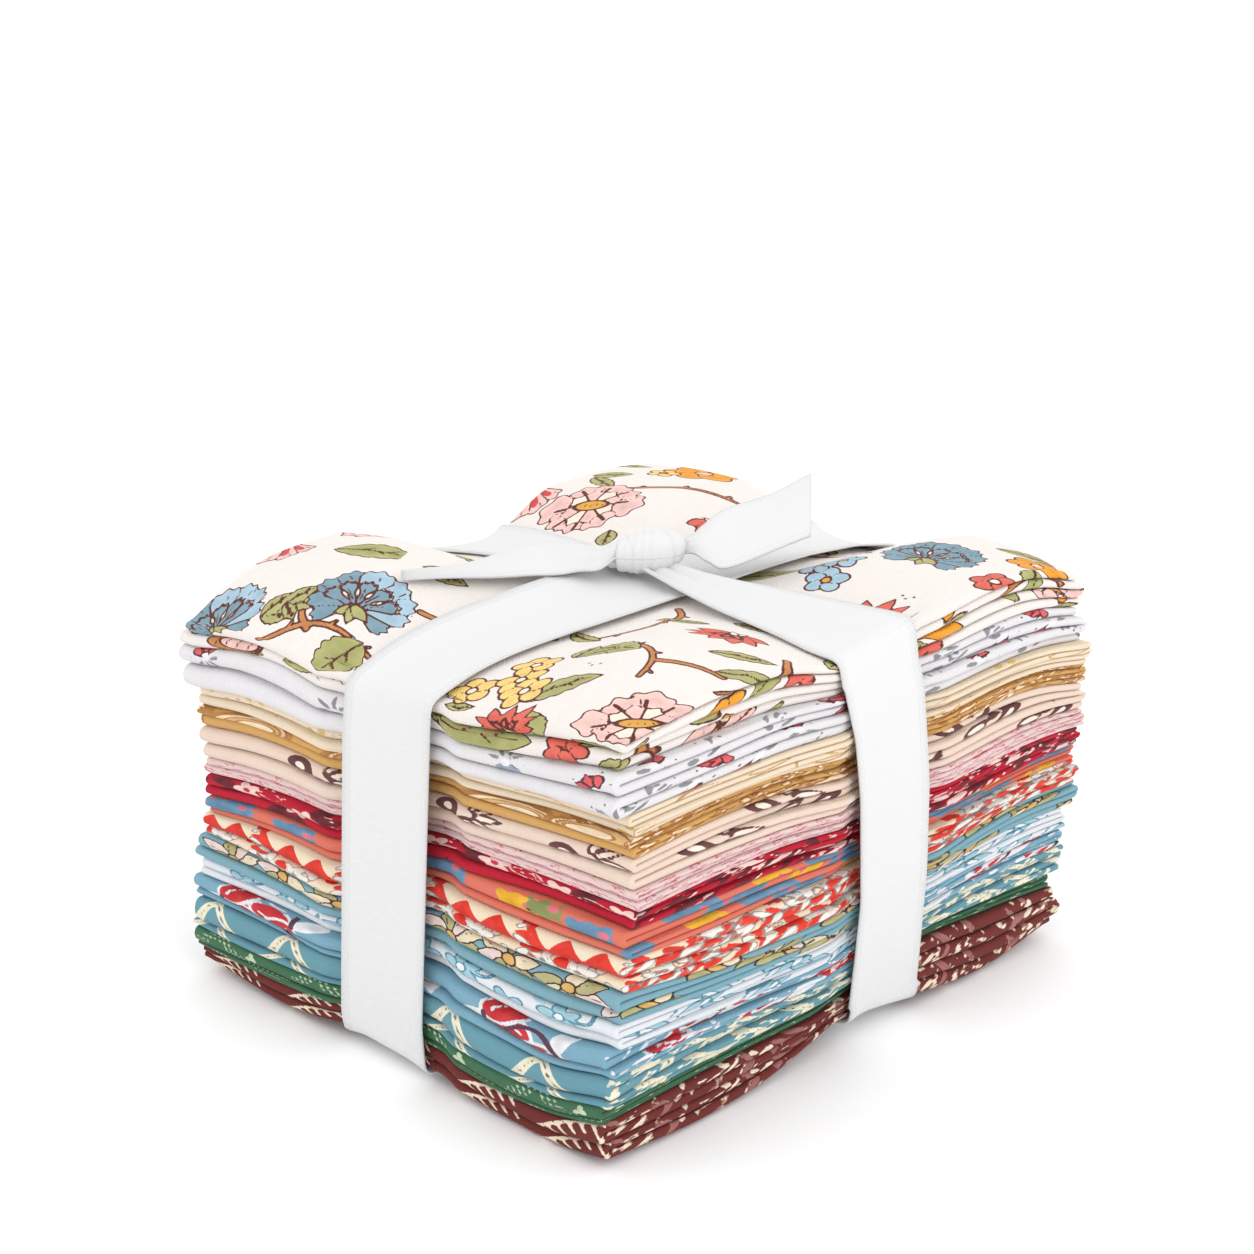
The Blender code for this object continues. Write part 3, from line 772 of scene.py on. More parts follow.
LEAVES = (
    Leaf(44, 126, -100, 12, 10.0, 0.9), Leaf(19, 131, 20, 8, 4.0), Leaf(19, 131, 75, 7, 4.4),
    Leaf(22, 127, 20, 9, 3.6), Leaf(22, 127, 68, 7, 4.0), Leaf(22, 127, -25, 6, 2.4),
    Leaf(12, 106, 22, 19, 7.5, 0.5, 1.2), Leaf(33, 100, 20, 10, 4.6), Leaf(30, 88, -6, 9, 3.0),
    Leaf(104, 143, 118, 11, 8.5, 0.6), Leaf(94, 131, 42, 15, 5.4, 0.5), Leaf(77, 136, 18, 8, 2.8),
    Leaf(90, 107, -4, 12, 7.4, 0.8), Leaf(84, 100, 160, 12, 3.8, bow=0.8),
    Leaf(90, 113, 96, 8, 4.6), Leaf(90, 113, 38, 10, 3.4), Leaf(112, 100, 32, 13, 3.6, bow=0.9),
    Leaf(119, 106, 22, 13, 5.0, bow=1.2), Leaf(129, 117, 45, 10, 6.6, 0.8),
    Leaf(93, 78, 205, 11, 3.4), Leaf(105, 72, 188, 10, 3.4), Leaf(70, 47, 30, 16, 8.0, 0.4),
    Leaf(74, 19, 140, 9, 4.8), Leaf(78, 16, 40, 10, 4.6), Leaf(70, 24, 195, 11, 4.6),
    Leaf(97, 53, 20, 8, 3.2), Leaf(80, 56, 205, 6, 4.2), Leaf(2, 20, 25, 10, 6.0),
    Leaf(4, 22, -28, 14, 4.4), Leaf(8, 50, -38, 11, 4.2), Leaf(32, 45, -60, 7, 4.2),
    Leaf(22, 51, -100, 6, 4.0), Leaf(108, 4, 15, 13, 4.0, bow=0.8),
    Leaf(124, 14, -52, 11, 5.6, 0.5), Leaf(130, 47, 15, 13, 5.2, 0.4), Leaf(121, 70, -70, 11, 4.6),
    Leaf(141, 88, 170, 12, 6.4, 0.5), Leaf(126, 146, 160, 15, 5.4, 0.5),
    Leaf(86, 152, 20, 16, 8.0, 0.5), Leaf(6, 3, 200, 12, 4.5), Leaf(62, 78, 60, 12, 5.0, 0.4),
)


def draw_cream_floral(s):
    def at(u, v, turn, reach=16.0, size=1.0):
        return s.motif(u, v, turn, reach, size)

    # Branches first, then leaves, then the flowers over them.
    for b in BRANCHES:
        points = curve(b.start, b.bend, b.end, b.steps)
        m = at(b.u, b.v, 0, b.reach)
        m.stroke("tan", points, 0.72)
        for k in range(2, len(points) - 1, 3) if b.thorns else ():
            ahead = points[k + 1] - points[k]
            side = np.array([-ahead[1], ahead[0]]) / (np.hypot(*ahead) + 1e-6)
            m.stroke("tan", [points[k], points[k] + side * 1.5 + ahead * 0.3], 0.42)
    for one in LEAVES:
        leaf(at(one.u, one.v, one.turn), one.length, one.width, one.teeth, one.bow)

    blue_flower(at(10, 136, 40, 17, 0.95))
    blue_flower(at(36, 121, 24, 17, 1.02))
    blue_flower(at(104, 24, 8, 17, 1.05), light="blue")
    peony(at(19, 38, 14, 16, 1.05))
    peony(at(122, 130, 30, 16, 0.95))
    peony(at(62, 96, -20, 15, 0.8))
    tulip(at(-3, 106, 195, 16, 0.9))
    tulip(at(6, 86, 165, 15, 0.85))
    tulip(at(146, 34, 200, 16, 0.9))
    coral_flower(at(112, 56, 30, 16, 0.95))
    coral_flower(at(103, 82, 190, 14, 0.8))
    coral_flower(at(44, 24, 250, 14, 0.75))
    coral_flower(at(96, 141, 10, 14, 0.75))
    for u, v in ((87, 38), (93, 43), (90, 34)):
        blossom(at(u, v, 20, 8), "light_blue", 4.2, "gold")
    for u, v in ((79, 129), (87, 124), (92, 128), (84, 117)):
        blossom(at(u, v, 35, 8), "yellow", 4.4, "cream")
    blossom(at(21, 1, 10, 14), "orange", 8.4, "pink", 6)
    blossom(at(16, 10, 10, 8), "yellow", 3.6, "coral")
    blossom(at(121, 8, 10, 9), "orange", 5.5, "cream", 6)
    blossom(at(131, 72, 30, 9), "orange", 5.0, "cream", 5)
    blossom(at(138, 76, 30, 9), "blue", 5.0, "cream", 5)
    blossom(at(124, 28, 30, 9), "coral", 4.4, "cream", 5)
    # The second fold under the front edge, where each motif is printed only once.
    repeat, s.repeat = s.repeat, (CUT_WIDTH, 2 * CUT_LENGTH)
    leaf(at(77, 419.5, 0, 30), 27, 11.0, teeth=0.3, bow=0.5)
    petal = at(18, 419, 0, 14)
    petal.lay("tan", oval(petal, 8.5, 5.0))
    petal.lay("pink", oval(petal, 6.0, 3.4, 1.5))
    for k in range(4):
        petal.stroke("line", [(-6 + 3.4 * k, -2.6), (-4.6 + 3.4 * k, 2.4)], 0.3)
    for k in range(6):
        curl = at(38 + 2.4 * k, 418 + (k % 3), 0, 5)
        curl.stroke("line", curve((-1, 0.9), (0, 1.6), (1.2, -0.6), 4), 0.2)
    flower = at(112, 420, 0, 12)
    for k in range(5):
        coral = flower.turned(72 * k)
        coral.lay("coral", oval(coral, 3.0, 1.9, 3.0))
    s.repeat = repeat
    # Threes of fine dots in the open ground.
    for u, v in ((50, 125), (66, 64), (98, 117), (40, 72), (6, 74), (112, 42)):
        for k in range(3):
            m = at(u + 1.4 * k, v + (k % 2), 0, 3)
            m.lay("line", oval(m, 0.42, 0.42))


folded_quarter(
    "fat_quarter_01_cream_floral", draw_cream_floral, repeat=(150, 160),
    ground=(0.885, 0.83, 0.79), line=(0.1, 0.028, 0.022),
    inks={
        "tan": (0.55, 0.22, 0.07),
        "olive": (0.42, 0.42, 0.16),
        "blue": (0.2, 0.33, 0.41),
        "light_blue": (0.38, 0.55, 0.66),
        "cream": (0.9, 0.78, 0.66),
        "pink": (0.86, 0.56, 0.51),
        "red": (0.62, 0.06, 0.06),
        "coral": (0.72, 0.13, 0.09),
        "gold": (0.75, 0.38, 0.06),
        "yellow": (0.88, 0.62, 0.2),
        "orange": (0.85, 0.34, 0.02),
        "line": None,
    },
    outlined=("olive", "blue", "light_blue", "pink", "coral", "yellow", "orange", "cream", "gold", "tan"),
)


# -------------------------------------------------------------- the white sprig
# A fat quarter of cool white quilting cotton, second from the top and held by the tape alone.
# It is printed with small sprigs set apart, most of them coral and some grey-blue.

# Each sprig's place on the flat cloth, in mm, how far it is turned, and its ink.
SPRIGS = (
    (9, 139, 20, "coral"), (47, 141, 200, "grey_blue"), (96, 138, 190, "grey_blue"),
    (70, 142, 60, "coral"), (120, 142, 30, "coral"), (30, 165, 80, "coral"),
    (74, 170, 10, "grey_blue"), (121, 112, 100, "coral"), (126, 78, 80, "coral"),
    (124, 45, 95, "grey_blue"), (127, 14, 80, "coral"), (125, 128, 70, "coral"),
    (122, 95, 110, "coral"), (126, 61, 100, "coral"), (123, 29, 60, "coral"),
    (125, 162, 95, "coral"), (125, 182, 85, "coral"), (14, 108, 50, "coral"),
    (60, 106, 20, "grey_blue"), (88, 116, 60, "coral"), (20, 70, 0, "grey_blue"),
    (58, 66, 0, "coral"), (94, 74, 0, "coral"), (12, 30, 0, "coral"), (48, 24, 0, "grey_blue"),
    (86, 32, 0, "coral"),
)


def draw_white_sprig(s):
    for u, v, turn, ink in SPRIGS:
        m = s.motif(u, v, turn, 9)
        for k in (-40, 0, 40):
            petal = m.turned(90 + k)
            petal.lay(ink, fan(petal, 5.2, 17, 0.4, 2.0))
            petal.stroke("line", [(2.0, 0.5), (4.0, 0.6)], 0.22)
        m.lay("white", oval(m, 1.3, 1.1, 0, 0.8))
        for k in (200, 250, 300, 345):
            side = m.turned(k, 1.0)
            side.lay("grey", blade(side, 4.0, 1.1))
        for x, y in ((-3.4, 5.2), (3.6, 5.0), (5.0, 1.6), (-5.0, 1.4)):
            m.lay("line", oval(m, 0.5, 0.36, x, y))


folded_quarter(
    "fat_quarter_02_white_sprig", draw_white_sprig, repeat=(130, 190),
    ground=(0.8, 0.78, 0.8), line=(0.09, 0.03, 0.04),
    inks={
        "coral": (0.72, 0.1, 0.11),
        "grey_blue": (0.3, 0.36, 0.45),
        "grey": (0.25, 0.25, 0.27),
        "white": (0.85, 0.82, 0.83),
        "line": None,
    },
    outlined=("coral",),
)


# ----------------------------------------------------------- the ivory and gold
# A fat quarter of ivory quilting cotton, third from the top and held by the tape alone. Its
# fine pale gold sprays are hardly darker than the ground.

# Each spray's place on the flat cloth, in mm, and how far it is turned.
SPRAYS = (
    (12, 137, 0), (42, 142, 30), (66, 138, 10), (104, 141, -20), (126, 118, 80), (124, 70, 95),
    (127, 24, 85), (30, 110, 50), (84, 112, 0), (16, 60, 20), (60, 62, 60), (96, 40, 10),
    (30, 20, 0), (70, 14, 80),
)


def draw_ivory_gold(s):
    for u, v, turn in SPRAYS:
        m = s.motif(u, v, turn, 13)
        m.stroke("gold", curve((-9, -2), (0, 5), (9, -1)), 0.32)
        for x in (-6, -2, 3, 7):
            side = m.turned(60 if x < 0 else -60, 0.4, x, 1.5)
            side.lay("pale_gold", blade(side, 4.5, 2.2))
        for x, y in ((-3, -3.6), (1, -3.0), (5, -4.0)):
            m.lay("gold", oval(m, 0.9, 0.5, x, y))


folded_quarter(
    "fat_quarter_03_ivory_gold", draw_ivory_gold, repeat=(133, 150),
    ground=(0.88, 0.74, 0.56),
    inks={
        "gold": (0.55, 0.3, 0.09),
        "pale_gold": (0.7, 0.47, 0.18),
    },
)


# ------------------------------------------------------------- the gold paisley
# A fat quarter of golden tan quilting cotton, fourth from the top and held by the tape alone.
# It is printed with cream paisley drops, hatched in brown.

def strewn(s, ink, across, gap, long, wide, seed, spread=2.2):
    """Small petals strewn along a strip of the cloth, each turned its own way."""
    draw = np.random.default_rng(seed)
    for v in np.arange(0, s.repeat[1], gap):
        u = across + draw.uniform(-spread, spread)
        turn, size = draw.uniform(0, 180), draw.uniform(0.7, 1.15)
        m = s.motif(u, v + draw.uniform(-0.4, 0.4) * gap, turn, long + 1.5, size)
        m.lay(ink, oval(m, long, wide))


# Each drop's place on the flat cloth, in mm, and how far it is turned.
DROPS = ((16, 141, 14), (54, 138, 196), (92, 141, 10), (118, 138, 190), (34, 160, 0), (74, 118, 180))


def draw_gold_paisley(s):
    for u, v, turn in DROPS:
        m = s.motif(u, v, turn, 19)
        for k, ink in ((0, "brown"), (1, "cream"), (2, "tan"), (3, "cream")):
            m.lay(ink, oval(m, 15.5 - 3.0 * k, 7.6 - 1.6 * k, 1.2 * k, 0))
        for k in range(-4, 5):
            m.stroke("brown", [(-4 + k * 0.5, 0), (-4 + k * 2.9, 6.4 - 0.4 * abs(k))], 0.24)
        for k in range(6):
            m.lay("brown", oval(m, 0.7, 1.1, -12 + k * 3.6, -5.2))
    strewn(s, "cream", 126.3, 2.3, 1.9, 0.85, 41)
    strewn(s, "brown", 126.3, 4.3, 1.2, 0.5, 42)


folded_quarter(
    "fat_quarter_04_gold_paisley", draw_gold_paisley, repeat=(128, 170),
    ground=(0.68, 0.39, 0.13), line=(0.4, 0.17, 0.05),
    inks={
        "brown": (0.46, 0.21, 0.05),
        "tan": (0.72, 0.45, 0.19),
        "cream": (0.9, 0.72, 0.48),
    },
    outlined=("cream",),
)


# ---------------------------------------------------------- the blush and brown
# A fat quarter of pale peach quilting cotton, fifth from the top and held by the tape alone.
# It is printed with small groups of brown flowers, widely spaced.

# Each group's place on the flat cloth, in mm, and how far it is turned.
BROWN_FLOWERS = (
    (39, 140, 0), (82, 138, 10), (114, 141, 10), (125, 96, 95), (126, 38, 80), (20, 104, 30),
    (84, 98, 0), (22, 60, 0), (74, 50, 0),
)


def draw_blush_brown(s):
    for u, v, turn in BROWN_FLOWERS:
        m = s.motif(u, v, turn, 11, 1.3)
        for x, y, r in ((-5.0, 0.6, 2.9), (-0.4, -2.6, 2.4)):
            m.lay("brown", oval(m, r, r * 0.9, x, y))
            m.lay("cream", oval(m, r * 0.38, r * 0.36, x, y))
        for k, length in ((70, 6.6), (30, 7.4), (-8, 7.0), (-45, 5.6)):
            petal = m.turned(k, 1.0)
            petal.lay("brown", blade(petal, length, 2.6))
            petal.lay("cream", blade(m.turned(k, 1.8), length - 2.0, 1.1))
        m.stroke("brown", curve((-8, -3), (-2, -7), (6, -4)), 0.34)


folded_quarter(
    "fat_quarter_05_blush_brown", draw_blush_brown, repeat=(131, 150),
    ground=(0.84, 0.67, 0.56),
    inks={
        "brown": (0.12, 0.035, 0.035),
        "cream": (0.86, 0.76, 0.66),
    },
)


# ---------------------------------------------------------------- the pink lace
# A fat quarter of pale pink quilting cotton, sixth from the top and held by the tape alone. It
# is printed with fine rose lines and rings, like lace edging.

def draw_pink_lace(s):
    wave = 0.7 * np.sin(s.flat[:, 0] * 2 * math.pi / 6.0)
    for row, half in ((0.0, 0.22), (1.3, 0.16), (4.6, 0.2)):
        y = (s.flat[:, 1] - row + 3.5) % 7.0 - 3.5
        s.inks["rose"] = np.maximum(s.inks["rose"], half - np.abs(y - wave * (0.4 + 0.3 * row)))
    for u, v in ((2, 1.4), (8, 4.6), (13, 2.4)):
        m = s.motif(u, v, 0, 3.2)
        m.lay("rose", 0.24 - np.abs(np.hypot(m.x, m.y) - 1.1), keep=("rose",))
        m.lay("deep_rose", oval(m, 0.42, 0.42))


folded_quarter(
    "fat_quarter_06_pink_lace", draw_pink_lace, repeat=(16, 7),
    ground=(0.84, 0.64, 0.62),
    inks={
        "rose": (0.62, 0.15, 0.21),
        "deep_rose": (0.5, 0.07, 0.13),
    },
)


# ------------------------------------------------------------------ the crimson
# A fat quarter of crimson quilting cotton, seventh from the top and held by the tape alone. It
# is printed with dark red leaves and pale pink flowers.

# Each flower's place on the flat cloth, in mm, and how far it is turned.
PALE_FLOWERS = (
    (14, 139, 20), (33, 142, 200), (50, 142, 160), (70, 140, 30), (88, 138, 10), (105, 141, 170),
    (122, 141, 190), (126, 108, 90), (124, 66, 80), (127, 28, 100), (30, 116, 70), (70, 112, 0),
    (104, 90, 40), (20, 80, 0), (60, 70, 60), (30, 30, 0), (80, 34, 0),
)


def draw_crimson(s):
    for u, v, turn in PALE_FLOWERS:
        m = s.motif(u, v, turn, 15)
        for k in (150, 185, 215):
            side = m.turned(k, 3.5)
            side.lay("dark_red", blade(side, 9.5, 4.2))
        for k in range(5):
            petal = m.turned(72 * k + 20)
            petal.lay("pale", oval(petal, 2.1, 1.4, 2.5))
        m.lay("red", oval(m, 1.1, 1.1))
        for k in range(7):
            m.lay("pale", oval(m, 0.62, 0.4, 5 + 1.2 * k, 2.6 * math.sin(k * 0.9)))
        m.stroke("pale", curve((4, -1), (8, -5), (11, -3)), 0.3)
    strewn(s, "dark_red", 126.2, 7.0, 2.6, 1.3, 71)
    strewn(s, "pale", 126.2, 3.1, 0.9, 0.6, 72)


folded_quarter(
    "fat_quarter_07_crimson", draw_crimson, repeat=(133, 150),
    ground=(0.52, 0.012, 0.035),
    inks={
        "dark_red": (0.13, 0.004, 0.014),
        "pale": (0.84, 0.6, 0.56),
        "red": (0.6, 0.02, 0.04),
    },
)


# ----------------------------------------------------------- the coral and blue
# A fat quarter of coral quilting cotton, in the middle of the pile and held by the tape alone.
# It is printed with broad patches of denim blue, gold and moss green.

# Each patch's place on the flat cloth, half its length and width, in mm, and its ink.
PATCHES = (
    (8, 139, 8, 5, "denim"), (30, 141, 7, 5, "denim"), (50, 141, 4, 4, "golden"),
    (56, 138, 3.4, 4, "moss"), (72, 139, 10, 5, "denim"), (97, 141, 5, 5, "golden"),
    (104, 138, 4, 3, "moss"), (116, 141, 6, 4, "denim"), (125, 120, 3, 7, "denim"),
    (125, 98, 3, 5, "golden"), (125, 80, 3, 8, "denim"), (125, 52, 3, 5, "denim"),
    (125, 40, 3, 4, "golden"), (125, 20, 3, 8, "denim"), (20, 108, 8, 5, "denim"),
    (60, 104, 8, 6, "moss"), (92, 108, 7, 5, "golden"), (40, 80, 9, 6, "denim"),
    (80, 60, 8, 6, "denim"), (20, 40, 7, 5, "golden"), (60, 20, 8, 5, "denim"),
    (96, 26, 6, 5, "moss"),
)


def draw_coral_blue(s):
    for u, v, long, wide, ink in PATCHES:
        m = s.motif(u, v, 8, 13)
        edge = 0.5 * np.cos(m.x * 1.4) + 0.4 * np.cos(m.y * 1.7)
        m.lay(ink, np.minimum(long - np.abs(m.x), wide - np.abs(m.y)) * 0.9 + edge)
        m.lay("rose", oval(m, 1.5, 1.2, long * 0.6, wide * 0.3))
    # A dark eye in two of the patches at the front.
    for u, v in ((56, 139), (100, 140)):
        m = s.motif(u, v, 0, 4)
        m.lay("line", oval(m, 0.8, 0.6))


folded_quarter(
    "fat_quarter_08_coral_blue", draw_coral_blue, repeat=(134, 150),
    ground=(0.76, 0.19, 0.13), line=(0.12, 0.05, 0.04),
    inks={
        "denim": (0.13, 0.27, 0.42),
        "golden": (0.8, 0.42, 0.02),
        "moss": (0.24, 0.28, 0.09),
        "rose": (0.7, 0.16, 0.2),
        "line": None,
    },
)


# -------------------------------------------------------------- the red scallop
# A fat quarter of cream quilting cotton, seventh from the bottom and held by the tape alone.
# It is printed in bands: a row of red points, then white petals among red ones.

POINTS_AT = 60  # the row of points, along each repeat of 80 mm


def draw_red_scallop(s):
    y = (s.flat[:, 1] - POINTS_AT + 40) % 80 - 40
    x = (s.flat[:, 0] + 2) % 9.0 - 4.5
    tooth = np.minimum(0.75 * (4.6 - np.abs(x)) + 0.62 * (y - 0.6), 4.0 - y)
    s.inks["red"] = np.maximum(s.inks["red"], np.minimum(tooth, 6.0 - np.abs(y)))
    for row in range(-1, 6):
        for k in range(3):
            centre_v = 9 + row * 12.5 + (k % 2) * 5
            if abs((centre_v - POINTS_AT + 40) % 80 - 40) < 9:
                continue
            m = s.motif(k * 9 + (row % 2) * 4.5, centre_v, 30 * k, 7)
            for turn in (20, 75, 130, 200, 250, 310):
                petal = m.turned(turn)
                petal.lay("white", oval(petal, 2.5, 1.35, 3.0))
            blot = m.turned(-40, 3.5)
            blot.lay("red", oval(blot, 2.6, 2.2, 2.0))
    strewn(s, "red", 18.3, 4.6, 2.8, 1.8, 91, 1.2)
    strewn(s, "white", 18.3, 3.3, 2.0, 1.1, 92, 2.4)


folded_quarter(
    "fat_quarter_09_red_scallop", draw_red_scallop, repeat=(27, 80),
    ground=(0.9, 0.76, 0.56), line=(0.3, 0.24, 0.22), line_width=0.13,
    inks={
        "red": (0.72, 0.03, 0.014),
        "white": (0.82, 0.8, 0.74),
    },
    outlined=("white",),
)


# -------------------------------------------------------------- the blue floral
# A fat quarter of soft blue quilting cotton, sixth from the bottom and held by the tape alone.
# It is printed with sage, cream and blush petals inside a dark line.

# Each flower's place on the flat cloth, in mm, and how far it is turned.
OPEN_FLOWERS = (
    (12, 141, 10), (29, 138, 120), (46, 139, 170), (63, 142, 60), (80, 140, 20), (96, 138, 140),
    (112, 139, 200), (125, 112, 95), (126, 74, 80), (124, 30, 100), (30, 110, 0), (70, 108, 90),
    (100, 90, 0), (16, 76, 0), (56, 68, 0), (90, 52, 0), (20, 30, 0), (64, 26, 0),
)
# Each petal of a flower: how far it is turned, its length and its ink.
PETALS = (
    (-20, 9.5, "sage"), (15, 10.5, "cream"), (55, 9.0, "blush"), (100, 9.0, "sage"),
    (150, 11.5, "blush"), (185, 10.0, "sage"), (235, 8.0, "cream"),
)


def draw_blue_floral(s):
    for u, v, turn in OPEN_FLOWERS:
        m = s.motif(u, v, turn, 14)
        for k, length, ink in PETALS:
            petal = m.turned(k)
            petal.lay(ink, blade(petal, length, 4.2, 0.25))
            petal.stroke("line", [(3, 0.2), (length - 3, 0.6)], 0.26)
        m.lay("tan", oval(m, 2.0, 1.6))


folded_quarter(
    "fat_quarter_10_blue_floral", draw_blue_floral, repeat=(132, 150),
    ground=(0.22, 0.42, 0.5), line=(0.06, 0.03, 0.03),
    inks={
        "sage": (0.45, 0.42, 0.2),
        "cream": (0.78, 0.68, 0.48),
        "blush": (0.78, 0.62, 0.58),
        "tan": (0.7, 0.42, 0.12),
        "line": None,
    },
    outlined=("sage", "cream", "blush", "tan"),
)


# ----------------------------------------------------------- the white and blue
# A fat quarter of white quilting cotton, fifth from the bottom and held by the tape alone. It
# is printed with light blue flowers inside a darker line.

# Each flower's place on the flat cloth, in mm, and how far it is turned.
LIGHT_FLOWERS = (
    (70, 141, 10), (30, 138, 0), (14, 141, 60), (46, 141, 100), (83, 138, 40), (110, 139, 30),
    (96, 143, 190), (125, 112, 95), (125, 92, 70), (124, 66, 80), (126, 40, 100), (125, 14, 90),
    (30, 110, 0), (70, 100, 90), (100, 80, 0), (16, 76, 0), (56, 60, 0), (20, 30, 0), (64, 26, 0),
)


def draw_white_blue(s):
    for u, v, turn in LIGHT_FLOWERS:
        m = s.motif(u, v, turn, 11)
        for k in range(5):
            petal = m.turned(72 * k)
            petal.lay("light_blue", oval(petal, 2.6, 1.6, 3.2))
        m.lay("white", oval(m, 1.4, 1.4))
        m.stroke("light_blue", curve((3, -2), (8, -6), (9, 0)), 0.5)
        side = m.turned(120, 4.5)
        side.lay("pale_blue", blade(side, 5.5, 2.4))


folded_quarter(
    "fat_quarter_11_white_blue", draw_white_blue, repeat=(133, 150),
    ground=(0.8, 0.83, 0.87), line=(0.1, 0.25, 0.33),
    inks={
        "light_blue": (0.36, 0.58, 0.68),
        "pale_blue": (0.5, 0.68, 0.76),
        "white": (0.84, 0.86, 0.88),
    },
    outlined=("light_blue",),
)


# --------------------------------------------------------------- the blue poppy
# A fat quarter of mid-blue quilting cotton, fourth from the bottom and held by the tape alone.
# It is printed with red poppies edged in white.

# Each pair of petals' place on the flat cloth, in mm, and how far it is turned.
POPPIES = (
    (10, 140, 20), (34, 139, 200), (64, 141, 150), (92, 139, 20), (112, 141, 240), (125, 108, 95),
    (126, 60, 80), (124, 20, 100), (30, 110, 0), (70, 108, 90), (16, 76, 0), (56, 68, 0),
    (90, 52, 0), (20, 30, 0), (64, 26, 0),
)


def draw_blue_poppy(s):
    for u, v, turn in POPPIES:
        m = s.motif(u, v, turn, 14, 1.35)
        for k in (-25, 25):
            petal = m.turned(k)
            petal.lay("white", oval(petal, 5.6, 3.8, 5.0))
            petal.lay("red", oval(petal, 4.9, 3.0, 5.0))
            petal.stroke("white", curve((2, 0), (5, 1.6), (8, 0.5)), 0.4)
        sweep = m.turned(200)
        sweep.lay("white", blade(sweep, 10.5, 3.8))
        m.stroke("plum", curve((0, 0), (-4, -7), (5, -9)), 0.6)
    strewn(s, "white", 126.3, 3.4, 1.5, 0.6, 121)


folded_quarter(
    "fat_quarter_12_blue_poppy", draw_blue_poppy, repeat=(131, 150),
    ground=(0.22, 0.42, 0.54),
    inks={
        "red": (0.58, 0.02, 0.025),
        "white": (0.8, 0.8, 0.82),
        "plum": (0.09, 0.03, 0.06),
    },
)


# ---------------------------------------------------------------- the teal vine
# A fat quarter of teal quilting cotton, third from the bottom and held by the tape alone. It is
# printed with a cream vine that bends to and fro, and scattered cream petals.

def vine(s, top, height, wide, arch=1.5):
    """How far each point lies from a line that bends one way and then the other, in rows that
    begin at top, and how far along its own bend it is, from 0 to 1."""
    half_wide = wide / 2
    y = (s.flat[:, 1] - top) % height
    x = (s.flat[:, 0] + wide / 4) % wide
    first = x < half_wide
    along = np.where(first, x, x - half_wide) / half_wide
    centre = height * (0.04 + 0.92 * np.where(first, 1 - along, along))
    centre = centre + arch * np.sin(math.pi * along)
    slope = math.sqrt(1 + (height / half_wide) ** 2)
    return (y - centre) / slope, along


def draw_teal_vine(s):
    gap, along = vine(s, top=133.5, height=14, wide=25)
    s.inks["cream"] = np.maximum(s.inks["cream"], 1.2 - np.abs(gap))
    teeth = 0.55 * np.abs(((along * 9) % 1) * 2 - 1) - 0.2
    s.inks["line"] = np.maximum(s.inks["line"], 0.26 - np.abs(gap - teeth))
    strewn(s, "cream", 126.2, 2.3, 1.05, 0.55, 131, 2.6)
    strewn(s, "cream", 126.2, 3.6, 1.5, 0.7, 132, 2.2)


folded_quarter(
    "fat_quarter_13_teal_vine", draw_teal_vine, repeat=(150, 140),
    ground=(0.15, 0.34, 0.41), line=(0.1, 0.16, 0.16),
    inks={
        "cream": (0.82, 0.76, 0.58),
        "line": None,
    },
)


# ---------------------------------------------------------------- the green dot
# A fat quarter of dark green quilting cotton, second from the bottom and held by the tape
# alone. It is printed with bands of fine pale dots and small trefoils.

def draw_green_dot(s):
    gap, _ = vine(s, top=134, height=13, wide=33)
    u, v = s.flat[:, 0], s.flat[:, 1]
    dots = 0.5 - np.hypot((u + 0.8 * np.round(v / 1.5)) % 1.7 - 0.85, v % 1.5 - 0.75)
    s.inks["pale_green"] = np.maximum(s.inks["pale_green"], np.minimum(dots, 1.9 - np.abs(gap)))
    for u in (20, 53, 86, 119):
        m = s.motif(u, 139, 0, 5)
        for k in range(3):
            petal = m.turned(90 + 120 * k)
            petal.lay("pale_green", oval(petal, 1.0, 0.8, 1.1))


folded_quarter(
    "fat_quarter_14_green_dot", draw_green_dot, repeat=(132, 150),
    ground=(0.06, 0.17, 0.09),
    inks={
        "pale_green": (0.52, 0.62, 0.42),
    },
)


# ----------------------------------------------- the maroon vine, at the bottom
# A fat quarter of maroon quilting cotton, which the rest of the pile lies on. It is printed
# with feathered cream arcs, cream dots and a paler red wash.

def draw_maroon_vine(s):
    strewn(s, "wash", 126.2, 9.0, 3.4, 1.2, 153, 2.0)
    for v, lean in ((140, 6), (70, -8), (105, 170), (35, 4)):
        for u in (10, 37, 64, 91, 114):
            arc = s.motif(u, v, lean, 16)
            bend = curve((-11, -4.5), (-2, 5.5), (11, 3.4), 9)
            arc.stroke("cream", bend, 0.6)
            for x, y in bend[1:-1]:
                arc.stroke("cream", [(x, y), (x + 2.4, y - 3.0)], 0.42)
    strewn(s, "cream", 126.2, 1.9, 0.7, 0.42, 151, 2.7)
    strewn(s, "cream", 126.2, 4.2, 1.35, 0.5, 152, 2.4)


folded_quarter(
    "fat_quarter_15_maroon_vine", draw_maroon_vine, repeat=(150, 141),
    ground=(0.17, 0.03, 0.026),
    inks={
        "wash": (0.33, 0.12, 0.11),
        "cream": (0.86, 0.72, 0.56),
    },
)


laid = np.concatenate(laid)


# --------------------------------------------- the tape round front and back
# One length of white inch-wide cotton twill tape, drawn tight round the pile. This turn lies
# flat up the front, over the top under the knot, down the back and along the underside.

